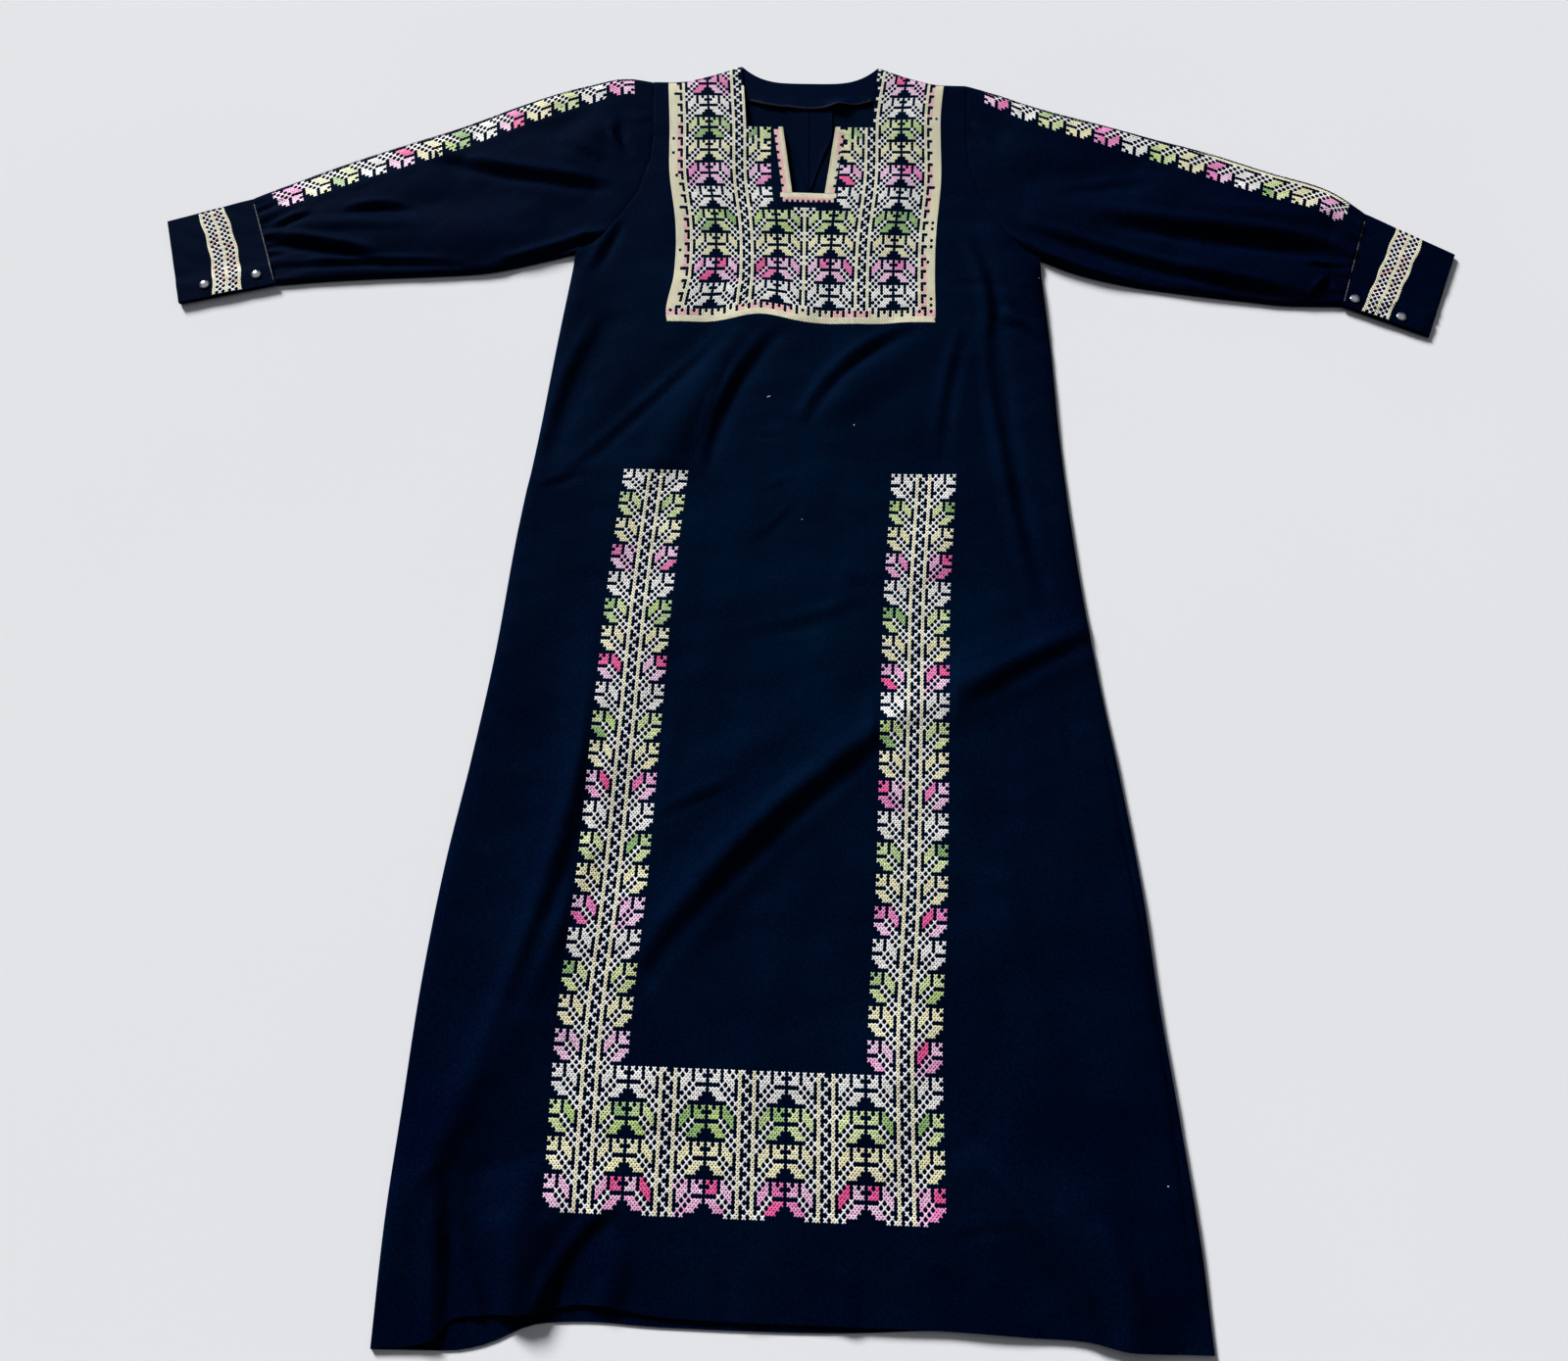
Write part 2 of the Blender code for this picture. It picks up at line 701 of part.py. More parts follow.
def lapped_band(width):
    """The middle of the cuff's wall, seen from its open end: across from the top fold, and height.

    It starts at the edge of the lap, runs to the top fold, round it and back beneath, then turns up
    and in under the lap.
    """
    half = CUFF_WALL / 2
    low = UNDER_CLEARANCE + half
    bend = half + SEAM_GAP / 2
    high = low + 2 * bend
    lap = high + 2 * bend
    return (
        [(width, lap), (width - CUFF_LAP, lap), (width - CUFF_LAP - LAP_SLOPE, high), (width / 2, high)]
        + arc((bend + half, low + bend), bend, 90, 270)
        + [(width / 2, low)]
        + arc((width - bend - half, low + bend), bend, -90, 90)
        + [(width - CUFF_LAP + TUCK_CLEAR, high)]
    )


def moved_aside(path, distance):
    """The path moved to its outer side, each point along the mean normal of its two stretches."""
    path = np.array(path)
    steps = np.diff(path, axis=0)
    normals = np.stack((-steps[:, 1], steps[:, 0]), axis=1) / np.hypot(*steps.T)[:, None]
    mean = np.vstack((normals[:1], normals[:-1] + normals[1:], normals[-1:]))
    mean /= np.hypot(*mean.T)[:, None]
    return path - mean * distance


class CuffLay:
    """Where one cuff lies: a share from its seam to its open end, and a section across."""

    def __init__(self, cuff):
        self.cuff = cuff
        corners = [np.array(corner, float) for corner in cuff[1:5]]
        to_end = corners[2] - corners[0]
        corners[0] += to_end / np.hypot(*to_end) * SEAM_GAP
        corners[1] += to_end / np.hypot(*to_end) * SEAM_GAP
        self.corners = corners

    def frame(self, share):
        top = self.corners[0] + (self.corners[2] - self.corners[0]) * share
        under = self.corners[1] + (self.corners[3] - self.corners[1]) * share
        width = np.hypot(*(under - top))
        return top, (under - top) / width, width

    def place(self, share, inward, height):
        top, direction, width = self.frame(share)
        on_lap = ease((height - SKEW_FROM) / SKEW_BLEND) * ease(inward / width) * share
        end_way = self.corners[0] - self.corners[2]
        turned = end_way / np.hypot(*end_way) * self.cuff.skew * on_lap
        x, y = top + direction * inward + turned
        return (x, y, height)

    def wall(self, shares, inner, outer):
        """Grids of points on the two faces of a layer that follows the band's wall."""
        grids = []
        for distance in (inner, outer):
            grid = []
            for share in shares:
                path = lapped_band(self.frame(share)[2])
                grid.append([self.place(share, w, z) for w, z in moved_aside(path, distance)])
            grids.append(grid)
        return grids


def build_cuff(cuff, cloth, thread, metal):
    lay = CuffLay(cuff)
    name = cuff.side.name
    half = CUFF_WALL / 2
    inner, outer = lay.wall(np.linspace(0.0, 1.0, CUFF_STATIONS), -half, half)
    shell(f"cuff_{name}", inner, outer, cloth)
    inner, outer = lay.wall((BAND_START, BAND_END), half + SEAM_GAP, half + UNDER_CLEARANCE)
    inner, outer = (np.array(grid)[:, :-TUCKED_POINTS] for grid in (inner, outer))
    shell(f"cuff_band_{name}", inner, outer, thread)
    for count, (share, inset) in enumerate(cuff.buttons, start=1):
        width = lay.frame(share)[2]
        lap_top = lapped_band(width)[0][1] + half
        x, y, z = lay.place(share, width - inset, lap_top)
        build_button(f"button_{name}_{count}", (x, y, z + SEAM_GAP), metal)


def build_button(name, place, metal):
    """A domed button, turned round its own upright axis."""
    points = [(0.0, 0.0, BUTTON_PROFILE[0][1])]
    turned = BUTTON_PROFILE[1:-1]
    angles = np.linspace(0.0, 2 * np.pi, BUTTON_SIDES, endpoint=False)
    for radius, height in turned:
        points += [(radius * np.cos(a), radius * np.sin(a), height) for a in angles]
    points.append((0.0, 0.0, 0.0))
    triangles = []
    for k in range(BUTTON_SIDES):
        after = (k + 1) % BUTTON_SIDES
        triangles.append((0, 1 + k, 1 + after))
        for ring in range(len(turned) - 1):
            a, b = 1 + ring * BUTTON_SIDES + k, 1 + ring * BUTTON_SIDES + after
            c, d = b + BUTTON_SIDES, a + BUTTON_SIDES
            triangles.extend(((a, d, c), (a, c, b)))
        last = 1 + (len(turned) - 1) * BUTTON_SIDES
        triangles.append((len(points) - 1, last + after, last + k))
    made = mesh_object(name, points, triangles, metal)
    made.location = np.array(place) * MM


def material(name, colour, roughness, metallic=0.0):
    made = bpy.data.materials.new(name)
    made.use_nodes = True
    shader = made.node_tree.nodes["Principled BSDF"]
    shader.inputs["Base Color"].default_value = (*colour, 1.0)
    shader.inputs["Roughness"].default_value = roughness
    shader.inputs["Metallic"].default_value = metallic
    return made


def main():
    for old in list(bpy.data.objects):
        bpy.data.objects.remove(old, do_unlink=True)
    cloth = material("navy_crepe", (0.006, 0.011, 0.035), 0.75)
    inside = material("navy_crepe_inside", (0.008, 0.014, 0.040), 0.80)
    thread = material("embroidery_thread", (0.72, 0.68, 0.55), 0.60)
    metal = material("button_metal", (0.75, 0.76, 0.78), 0.20, 1.0)
    build_back(cloth)
    build_neck_inside(inside)
    build_front(cloth, thread)
    for cuff in CUFFS:
        build_sleeve(cuff, cloth, thread)
        build_cuff(cuff, cloth, thread, metal)


main()
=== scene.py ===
"""The looks of a long navy dress with cross-stitch embroidery, laid flat on its back.

The frame is the garment's own: +X to the wearer's left, +Y from hem to neck, +Z up from the surface
it lies on. Lengths are in millimetres until a mesh is made of them. "Along" is a place on Y, "half" a
distance from the middle line. Left and right are the wearer's.
"""

import json
import logging
from collections.abc import Callable, Sequence
from dataclasses import dataclass, field
from enum import Enum
from typing import NamedTuple

import bpy
import numpy as np
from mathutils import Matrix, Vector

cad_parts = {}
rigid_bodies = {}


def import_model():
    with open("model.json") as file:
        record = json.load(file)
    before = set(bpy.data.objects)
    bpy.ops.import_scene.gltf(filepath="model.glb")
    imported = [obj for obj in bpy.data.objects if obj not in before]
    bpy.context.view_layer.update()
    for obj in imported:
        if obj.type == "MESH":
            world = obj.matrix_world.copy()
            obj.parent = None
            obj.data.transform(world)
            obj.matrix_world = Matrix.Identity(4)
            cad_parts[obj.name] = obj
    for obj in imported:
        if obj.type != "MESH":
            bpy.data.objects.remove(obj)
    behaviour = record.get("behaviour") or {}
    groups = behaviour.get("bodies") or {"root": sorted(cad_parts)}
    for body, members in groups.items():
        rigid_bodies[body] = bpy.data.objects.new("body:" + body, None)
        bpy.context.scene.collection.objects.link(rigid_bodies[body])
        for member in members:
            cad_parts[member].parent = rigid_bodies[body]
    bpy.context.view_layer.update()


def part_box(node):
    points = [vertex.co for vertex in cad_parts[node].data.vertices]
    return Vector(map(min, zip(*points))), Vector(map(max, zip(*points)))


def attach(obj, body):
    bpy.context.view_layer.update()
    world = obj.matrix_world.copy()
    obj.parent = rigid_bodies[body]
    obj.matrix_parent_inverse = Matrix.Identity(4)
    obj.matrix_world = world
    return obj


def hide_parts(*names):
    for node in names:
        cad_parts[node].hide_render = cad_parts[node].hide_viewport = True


for left_over in list(bpy.data.objects):
    bpy.data.objects.remove(left_over, do_unlink=True)
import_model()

log = logging.getLogger("dress")

Array = np.ndarray
Piece = bpy.types.Object
Material = bpy.types.Material
Colour = tuple[float, float, float]
Spot = tuple[float, float]
Surface = Callable[[Array, Array], Array]

MM = 0.001
SEED = 1948

# Cloth
WALL = 1.2
SEAM_GAP = 0.3
LAYER = WALL + SEAM_GAP
FACING_WALL = 1.0
AIR = 4.2
SLEEVE_HOLLOW = AIR + SEAM_GAP
EDGE_ROLL = 16.0
HEM_SETTLE = 90.0
HEM_AIR_SHARE = 0.35
LEAST_LIFT = 0.4
LIFT_SOFTNESS = 0.7
SEAM_DITCH = 0.45
DITCH_REACH = 2.0
STRIP_STIFFNESS = 0.62
NOSE = 5.0

# Neck
NECK_HALF = 83.5
NECK_POINT = 709.0
BACK_NECK_ALONG = 683.0
FRONT_NECK_ALONG = 615.0
FRONT_NECK_HALF = 73.0
SLIT_END_ALONG = 517.0
SLIT_END_HALF = 18.5
SLIT_TOP_HALF = 31.0
FACING_EDGE_ALONG = 644.0
FACING_EDGE_RISE = 13.0

# Embroidery
STITCH_ACROSS = 3.25
LEAF_ROWS = 8
YOKE_COLUMNS = 91
YOKE_MIDDLE = YOKE_COLUMNS // 2
YOKE_LEAVES = 10
YOKE_TOP_ALONG = 694.0
YOKE_LEAVES_END = 355.0
YOKE_END_ALONG = 340.0
YOKE_PITCH = (YOKE_TOP_ALONG - YOKE_LEAVES_END) / (YOKE_LEAVES * LEAF_ROWS)
YOKE_SHOULDER_MARGIN = 1.8
YOKE_NECK_MARGIN = 1.4
YOKE_SLIT_MARGIN = 12.5
SLIT_FOOT_ALONG = 493.0
SLIT_FOOT_COLUMNS = 9.5
STRIP_COLUMNS = 21
STRIP_STEM = 8
STRIP_LEAVES = 20
PANEL_STEMS = 5
PANEL_LEAVES = 4
STEM_REPEAT = 22
STRIP_OFFSET = 2 * STEM_REPEAT * STITCH_ACROSS
STRIP_TOP_ALONG = 146.0
STRIP_END_ALONG = -474.0
PANEL_TOP_ALONG = STRIP_END_ALONG - 2 * SEAM_GAP
PANEL_END_ALONG = -602.0
ROW_TILT = 0.02
TILT_BLEND = 36.0
SLEEVE_STRIP_UNDER = 36.0
SLEEVE_STRIP_LEAVES = 13
SLEEVE_STRIP_START = 0.045
SLEEVE_STRIP_END = 0.955
SLEEVE_STRIP_SPREAD = 1.16
THREAD_CLEAR = 0.05
UNDER_CLEARANCE = 1.1
STRIP_CLEARANCE = UNDER_CLEARANCE + 0.2
STRIP_CLEAR_BLEND = 14.0

# Cuffs
CUFF_WALL = 1.4
CUFF_LAP = 24.0
LAP_SLOPE = 12.0
TUCK_CLEAR = 3.0
SKEW_FROM = 4.0
SKEW_BLEND = 1.5
BAND_START = 0.35
BAND_END = 0.65
BAND_ROWS = 66
BAND_FROM = 0.004
BAND_TO = 0.915
TOP_FOLD = 0.455
SEAM_THREADS = 64


class Side(Enum):
    """The wearer's side, with the sign of X there."""

    RIGHT = -1
    LEFT = 1

    @property
    def word(self) -> str:
        """The side's name in piece names."""
        return self.name.lower()


class Girth(NamedTuple):
    """Half the body's width at a place along, and how far its middle has drifted."""

    along: float
    half: float
    drift: float


class Half(NamedTuple):
    """How far from the middle line a seam or an edge lies at a place along."""

    along: float
    half: float


class Hem(NamedTuple):
    """Both hems at a place across."""

    across: float
    front: float
    back: float


class FrontLine(NamedTuple):
    """The middle line of the front's embroidery, and how far the open neck spreads it."""

    along: float
    centre: float
    spread: float


class SleeveEdge(NamedTuple):
    """One edge of both sleeves at a reach from the middle line."""

    reach: float
    right: float
    left: float


class Crease(NamedTuple):
    """A soft ridge, or a trough where rise is under 0, on a line bowed to one side.

    lean above 0 makes the bowed side broad and the other side steep.
    """

    x0: float
    y0: float
    x1: float
    y1: float
    bow: float
    width: float
    rise: float
    lean: float = 0.0


class Drop(Crease):
    """A crease whose left side, seen along its line, stands up and whose right side dips."""


BODY_SECTIONS = (
    Girth(-709, 359, -1),
    Girth(-610, 357, -3),
    Girth(-520, 351, -5),
    Girth(-410, 343, -8),
    Girth(-290, 333, -7),
    Girth(-190, 320, -6),
    Girth(-80, 306, -7),
    Girth(60, 293, -9),
    Girth(200, 281, -6),
    Girth(300, 275, -3),
    Girth(429, 265, 0),
)
ARMHOLE_SECTIONS = (
    Half(429, 265),
    Half(441, 248),
    Half(460, 231),
    Half(489, 214),
    Half(517, 199),
    Half(566, 187.5),
    Half(615, 186),
    Half(683, 190),
)
SHOULDER_SECTIONS = (
    Half(709, 83.5),
    Half(692, 125),
    Half(684, 155),
    Half(683, 190),
)
HEM_SECTIONS = (
    Hem(-361, -709, -709),
    Hem(-306, -700, -709),
    Hem(-296, -686, -709),
    Hem(-264, -681, -704),
    Hem(-224, -679, -688),
    Hem(-193, -672, -685),
    Hem(-115, -680, -688),
    Hem(44, -685, -690),
    Hem(128, -687, -687),
    Hem(203, -691, -690),
    Hem(254, -694, -693),
    Hem(288, -701, -700),
    Hem(359, -702, -701),
)
FRONT_LINES = (
    FrontLine(-709, -45, 0),
    FrontLine(-471, -45, 0),
    FrontLine(-300, -36, 0),
    FrontLine(-150, -31, 0),
    FrontLine(13, -25, 0),
    FrontLine(141, -16, 0),
    FrontLine(342, -5, 0),
    FrontLine(454, -4, 3),
    FrontLine(539, -4, 12),
    FrontLine(624, -4, 15),
    FrontLine(709, -1, 24),
)
ALLOWANCES = (
    Half(525, 2.2),
    Half(568, 15),
    Half(612, 27.5),
    Half(682, 27.5),
)
SLEEVE_TOPS = (
    SleeveEdge(190.3, 683, 683),
    SleeveEdge(225, 687, 670),
    SleeveEdge(266, 676, 653),
    SleeveEdge(342, 645, 628),
    SleeveEdge(410, 611, 605),
    SleeveEdge(470, 585, 586),
    SleeveEdge(540, 554, 558),
    SleeveEdge(612, 518, 530),
    SleeveEdge(646, 500, 500),
)
SLEEVE_UNDERS = (
    SleeveEdge(265.3, 429, 429),
    SleeveEdge(300, 418, 413),
    SleeveEdge(364, 401, 395),
    SleeveEdge(427, 395, 385),
    SleeveEdge(490, 391, 377),
    SleeveEdge(550, 386, 371),
    SleeveEdge(602, 380, 371),
)

# The largest folds, as the solids have them
BODY_FOLDS = (
    Crease(-205, 420, -285, 150, 8, 44, -2.5),
    Crease(-95, 330, -240, 155, -8, 34, -2.0),
    Crease(-34, 340, -110, 150, -6, 36, -2.6),
    Crease(-70, 330, -165, 120, -8, 34, 5.0),
    Crease(145, 340, -10, 205, 10, 38, 4.0),
    Crease(205, 395, 212, 150, -10, 40, -2.5),
    Crease(196, 475, 262, 320, 8, 40, 4.5),
    Crease(312, -35, 20, -185, -14, 46, 7.0),
    Crease(60, -150, -140, -385, -14, 50, 8.0),
    Crease(45, -105, -150, -235, 8, 46, 3.5),
    Crease(-178, 10, -268, -440, 12, 60, 6.0),
    Crease(-225, 20, -300, -400, 10, 50, -2.5),
    Crease(-262, -420, -340, -620, -6, 50, 6.0),
    Crease(-40, 125, 30, 112, 6, 46, 2.5),
    Crease(-95, -20, 85, 0, 10, 60, 2.5),
    Crease(-296, -560, -262, -708, 6, 40, -3.0),
    Crease(-250, -560, -225, -700, 0, 52, 10.0),
    Crease(-175, -590, -212, -690, 0, 44, -2.0),
    Crease(110, -560, 262, -706, 14, 46, -2.5),
    Crease(150, -540, 312, -712, 14, 54, 8.0),
)
SLEEVE_FOLDS = (
    Crease(-230, 640, -300, 560, 6, 36, 4.0),
    Crease(-250, 530, -400, 560, -10, 60, 5.0),
    Crease(-300, 470, -600, 450, 12, 50, 6.0),
    Crease(-420, 545, -620, 470, 8, 44, 5.0),
    Crease(230, 600, 330, 560, -6, 44, 4.0),
    Crease(250, 500, 420, 470, 10, 56, 5.0),
    Crease(380, 540, 600, 470, -10, 56, 7.0),
    Crease(420, 420, 590, 400, 6, 44, 6.0),
)

# Finer creases of the front, sharper than the solids can hold
FRONT_CREASES = (
    # bodice
    Drop(-282, 153, -223, 350, 7, 28, 5.4),
    Drop(-267, 128, -88, 328, -3, 16.8, 2.5),
    Drop(-109, 148, -33, 330, 14, 19.6, 5.8),
    Drop(-119, 166, -87, 284, 0, 9, 1.7),
    Drop(-3, 206, 122, 333, 19, 21, 5.4),
    Drop(144, 165, 176, 333, 5, 18.2, 2.8),
    Drop(246, -13, 204, 352, 8, 23.8, 5.4),
    Drop(200, 352, 256, 326, 2, 16.8, 3.9),
    Drop(233, 266, 263, 245, 0, 8, 1.7),
    Drop(208, 316, 185, 456, -9, 21, 5.1),
    Drop(253, 326, 225, 364, 0, 18.2, 3.6),
    Drop(236, 390, 266, 383, 0, 8, 1.9),
    Drop(-246, 402, -217, 474, 0, 16.8, 3.9),
    Drop(-61, 192, -12, 188, 3, 9, 1.4),
    Drop(-46, 122, -5, 140, 0, 9, 1.7),
    Drop(15, 123, 81, 70, 4, 14, 1.3),
    Drop(-62, 57, -7, 112, -4, 12, 1.2),
    Drop(-60, -42, 67, -2, -6, 20, 1.9),
    Drop(-284, 123, -229, 146, 0, 14, 1.7),
    Crease(154, 388, 219, 390, 1, 4, -1.2),
    # skirt
    Drop(160, -112, 312, -32, 4, 25.3, 4.3),
    Drop(-160, -404, 134, -116, 22, 29.9, 6.1),
    Drop(-137, -236, -63, -200, 0, 12, 2.4),
    Drop(-332, -604, -196, -96, -18, 27.6, 6.6),
    Crease(-200, -262, -310, -566, 2, 17, 5.4),
    Drop(149, -525, 47, -442, 0, 18, 1.3),
    Drop(264, -179, 258, -137, 0, 10, 1.4),
    Crease(60, 60, 20, -80, -6, 20, 1.4),
    Crease(150, -200, 230, -480, 10, 30, 2.4),
    Crease(-120, -90, -160, -260, 6, 22, 1.7),
    Crease(298, -145, 346, -684, 9, 3.5, -2.4),
    # hem
    Crease(-318, -560, -306, -724, 2, 14, 5.3, -0.5),
    Crease(-306, -580, -292, -716, 2, 8, -4.8),
    Drop(-262, -704, -298, -606, -8, 19.5, 5.8),
    Crease(-262, -600, -236, -712, 4, 24, 5.3),
    Drop(-222, -700, -158, -590, 10, 19.5, 5.8),
    Crease(-184, -704, -150, -620, -6, 20, 2.9),
    Drop(-334, -583, -313, -558, 0, 8, 1.7),
    Drop(270, -700, 144, -520, -14, 18.4, 6.2),
    Crease(268, -596, 290, -708, 6, 18, 4.1),
    Drop(134, -611, 212, -602, 2, 9, 1.8),
    Drop(352, -617, 313, -577, 0, 10, 1.8),
    Crease(40, -640, 46, -700, 2, 16, 2.2),
    Crease(-60, -636, -52, -700, -2, 14, -1.7),
)

# Creases of the back panel, seen from beneath, where the cloth is lifted off the surface
BACK_CREASES = (
    Crease(-230, 400, -262, 120, 8, 22, 1.6),
    Crease(70, 330, -80, 200, 10, 20, 1.4),
    Crease(215, 390, 205, 160, -8, 20, 1.6),
    Crease(280, -60, 20, -200, -12, 26, 2.0),
    Crease(30, -200, -130, -400, -10, 26, 2.2),
    Crease(-200, -20, -290, -430, 12, 28, 2.0),
    Crease(150, -240, 210, -520, 10, 26, 1.6),
    Crease(-60, -480, -20, -660, 8, 24, 1.6),
    Crease(130, -580, 270, -700, 12, 24, 1.8),
    Crease(-290, -560, -262, -700, 6, 22, 1.8),
    Crease(60, 560, 110, 420, 6, 18, 1.0),
    Crease(-70, 480, -150, 360, -6, 18, 1.0),
)

# Creases of the sleeves' upper side
SLEEVE_CREASES = (
    # right
    Drop(-214, 566, -230, 620, 5, 13.5, 5.2),
    Drop(-208, 617, -188, 625, 0, 8.1, 2.8),
    Drop(-440, 562, -226, 523, -5, 21.6, 6.7),
    Drop(-299, 588, -232, 556, 0, 16.2, 3.2),
    Drop(-539, 476, -456, 482, 7, 16.2, 3.9),
    Drop(-628, 440, -488, 415, 5, 18.9, 7.1),
    Drop(-619, 456, -573, 475, 0, 12.2, 3.2),
    Drop(-600, 404, -388, 409, 4, 12.2, 3.5),
    Drop(-351, 412, -244, 456, -5, 16.2, 5.6),
    Drop(-264, 443, -228, 454, 0, 14.9, 5.6),
    Crease(-600, 452, -440, 462, 6, 16, 2.9),
    # left
    Drop(192, 620, 213, 594, 0, 10.8, 5),
    Drop(246, 475, 567, 380, -9, 20.2, 7.1),
    Drop(330, 489, 624, 446, -3, 29.7, 8.8),
    Drop(218, 462, 372, 393, -10, 17.6, 7.1),
    Drop(559, 424, 616, 423, 0, 8.1, 3.5),
    Drop(569, 380, 592, 407, 0, 12.2, 4.3),
    Drop(273, 518, 403, 540, 0, 18, 1.9),
    Crease(430, 505, 600, 492, -6, 18, 2.9),
)


def smooth_curve(places: Sequence[float], values: Sequence[float], at: Array | float) -> Array:
    """A soft curve through a table's columns, flat past its ends and never past its rows.

    Args:
        places: The column that the curve runs along, rising.
        values: The column that it passes through.
        at: Where it is read.

    Returns:
        The curve's values there.
    """
    places = np.asarray(places, float)
    values = np.asarray(values, float)
    slopes = np.gradient(values, places)
    steps = np.diff(values) / np.diff(places)
    for i, step in enumerate(steps):
        limit = 3.0 * abs(step)
        slopes[i] = np.clip(slopes[i], -limit, limit)
        slopes[i + 1] = np.clip(slopes[i + 1], -limit, limit)
    at = np.clip(at, places[0], places[-1])
    i = np.clip(np.searchsorted(places, at, side="right") - 1, 0, len(places) - 2)
    gap = places[i + 1] - places[i]
    t = (at - places[i]) / gap
    rise = t * t * (3.0 - 2.0 * t)
    bend = (1.0 - t) * slopes[i] - t * slopes[i + 1]
    return values[i] * (1.0 - rise) + values[i + 1] * rise + gap * t * (1.0 - t) * bend


def straight_curve(places: Sequence[float], values: Sequence[float], at: Array | float) -> Array:
    """Straight lines through a table's columns, read as smooth_curve is."""
    return np.interp(at, places, values)


def from_table(
    rows: Sequence[NamedTuple], key: str, name: str, at: Array | float, read: Callable = smooth_curve
) -> Array:
    """A table's column read at places on another of its columns."""
    places, values = ([getattr(row, part) for row in rows] for part in (key, name))
    return read(places, values, at)


def ease(t: Array | float) -> Array:
    """0 below 0, 1 above 1 and a soft rise between."""
    t = np.clip(t, 0.0, 1.0)
    return t * t * (3.0 - 2.0 * t)


def rolled(distance: Array | float, reach: float = EDGE_ROLL) -> Array:
    """From 0 on a folded or sewn edge to 1 where the cloth lies level."""
    share = np.clip(distance / reach, 0.0, 1.0)
    return np.sqrt(1.0 - (1.0 - share) ** 2)


def at_least(value: Array, floor: float, softness: float = LIFT_SOFTNESS) -> Array:
    """The value, held softly above a floor."""
    return floor + softness * np.logaddexp(0.0, (value - floor) / softness)


def crease_height(creases: Sequence[Crease], x: Array, y: Array) -> Array:
    """The height that creases add to the cloth.

    Args:
        creases: The table of creases.
        x: Places across.
        y: Places along.

    Returns:
        The heights there.
    """
    total = np.zeros(np.broadcast(x, y).shape)
    for crease in creases:
        run = np.array((crease.x1 - crease.x0, crease.y1 - crease.y0), float)
        length = np.hypot(*run)
        run /= length
        dx, dy = x - crease.x0, y - crease.y0
        t = (dx * run[0] + dy * run[1]) / length
        t = np.clip(t, 0.0, 1.0)
        aside = dy * run[0] - dx * run[1] - crease.bow * 4.0 * t * (1.0 - t)
        share = np.clip(aside / (crease.width * (1.0 + crease.lean * np.sign(aside))), -1.0, 1.0)
        across = 0.5 + 0.5 * np.cos(np.pi * share)
        if isinstance(crease, Drop):
            across = across * np.sin(np.pi * share)
        total += crease.rise * across * np.abs(np.sin(np.pi * t)) ** 0.6
    return total


def undulation(x: Array, y: Array, size: float, height: float, seed: int) -> Array:
    """A slow unevenness of the cloth: waves in mixed directions.

    Args:
        x: Places across.
        y: Places along.
        size: The mean length of a wave.
        height: The most that it rises or falls.
        seed: Which set of waves.

    Returns:
        The heights there.
    """
    draw = np.random.default_rng(SEED + seed)
    total = np.zeros(np.broadcast(x, y).shape)
    waves = 9
    for _ in range(waves):
        turn, phase = draw.uniform(0.0, 2 * np.pi, 2)
        length = size * draw.uniform(0.6, 1.7)
        ahead = (x * np.cos(turn) + y * np.sin(turn)) / length
        bent = 0.6 * np.sin((y * np.cos(turn) - x * np.sin(turn)) / (1.9 * size) + phase)
        total += np.sin(2 * np.pi * ahead + phase + bent)
    return total * height / waves**0.5


# Outlines in plan


def armhole_half(along: Array | float) -> Array:
    """How far out the armhole seam lies."""
    return from_table(ARMHOLE_SECTIONS, "along", "half", along, straight_curve)


def body_edge(sign: int, along: Array | float) -> Array:
    """Where the side seam, or above the armpit the armhole seam, lies across.

    Args:
        sign: 1 for the wearer's left, -1 for the right.
        along: Places along.

    Returns:
        Places across.
    """
    half = from_table(BODY_SECTIONS, "along", "half", along)
    side_seam = from_table(BODY_SECTIONS, "along", "drift", along) + sign * half
    above = np.asarray(along) >= ARMHOLE_SECTIONS[0].along
    return np.where(above, sign * armhole_half(along), side_seam)


def shoulder_along(across: Array | float) -> Array:
    """Where the top edge lies along."""
    return from_table(SHOULDER_SECTIONS, "half", "along", np.abs(across))


def back_top_along(across: Array | float) -> Array:
    """The back's top edge: the shallow round of the neck, then the shoulder."""
    share = np.minimum(np.abs(across) / NECK_HALF, 1.0)
    neck = BACK_NECK_ALONG + (NECK_POINT - BACK_NECK_ALONG) * share**4
    return np.where(np.abs(across) >= NECK_HALF, shoulder_along(across), neck)


def hem_along(layer: str, across: Array | float) -> Array:
    """Where the front or the back hem lies along."""
    return from_table(HEM_SECTIONS, "across", layer, across)


def front_centre(along: Array | float) -> Array:
    """The middle line of the front's embroidery."""
    return from_table(FRONT_LINES, "along", "centre", along)


def neck_spread(along: Array | float) -> Array:
    """How far the open neck spreads the embroidery to each side."""
    return from_table(FRONT_LINES, "along", "spread", along)


def slit_half(along: Array | float) -> Array:
    """Half the width of the neck slit."""
    up_slit = np.clip((along - SLIT_END_ALONG) / (FRONT_NECK_ALONG - SLIT_END_ALONG), 0.0, 1.0)
    return SLIT_END_HALF + (SLIT_TOP_HALF - SLIT_END_HALF) * up_slit


def neck_half(along: Array | float) -> Array:
    """Half the width of the neck opening."""
    up = np.clip((along - FRONT_NECK_ALONG) / (NECK_POINT - FRONT_NECK_ALONG), 0.0, 1.0)
    return FRONT_NECK_HALF + (NECK_HALF - FRONT_NECK_HALF) * up


def neck_centre(along: Array | float) -> Array:
    """The middle of the neck opening and the slit, which the embroidery's middle line runs into."""
    share = ease((along - YOKE_END_ALONG) / (SLIT_END_ALONG - YOKE_END_ALONG))
    return front_centre(along) * (1.0 - share)


# Heights


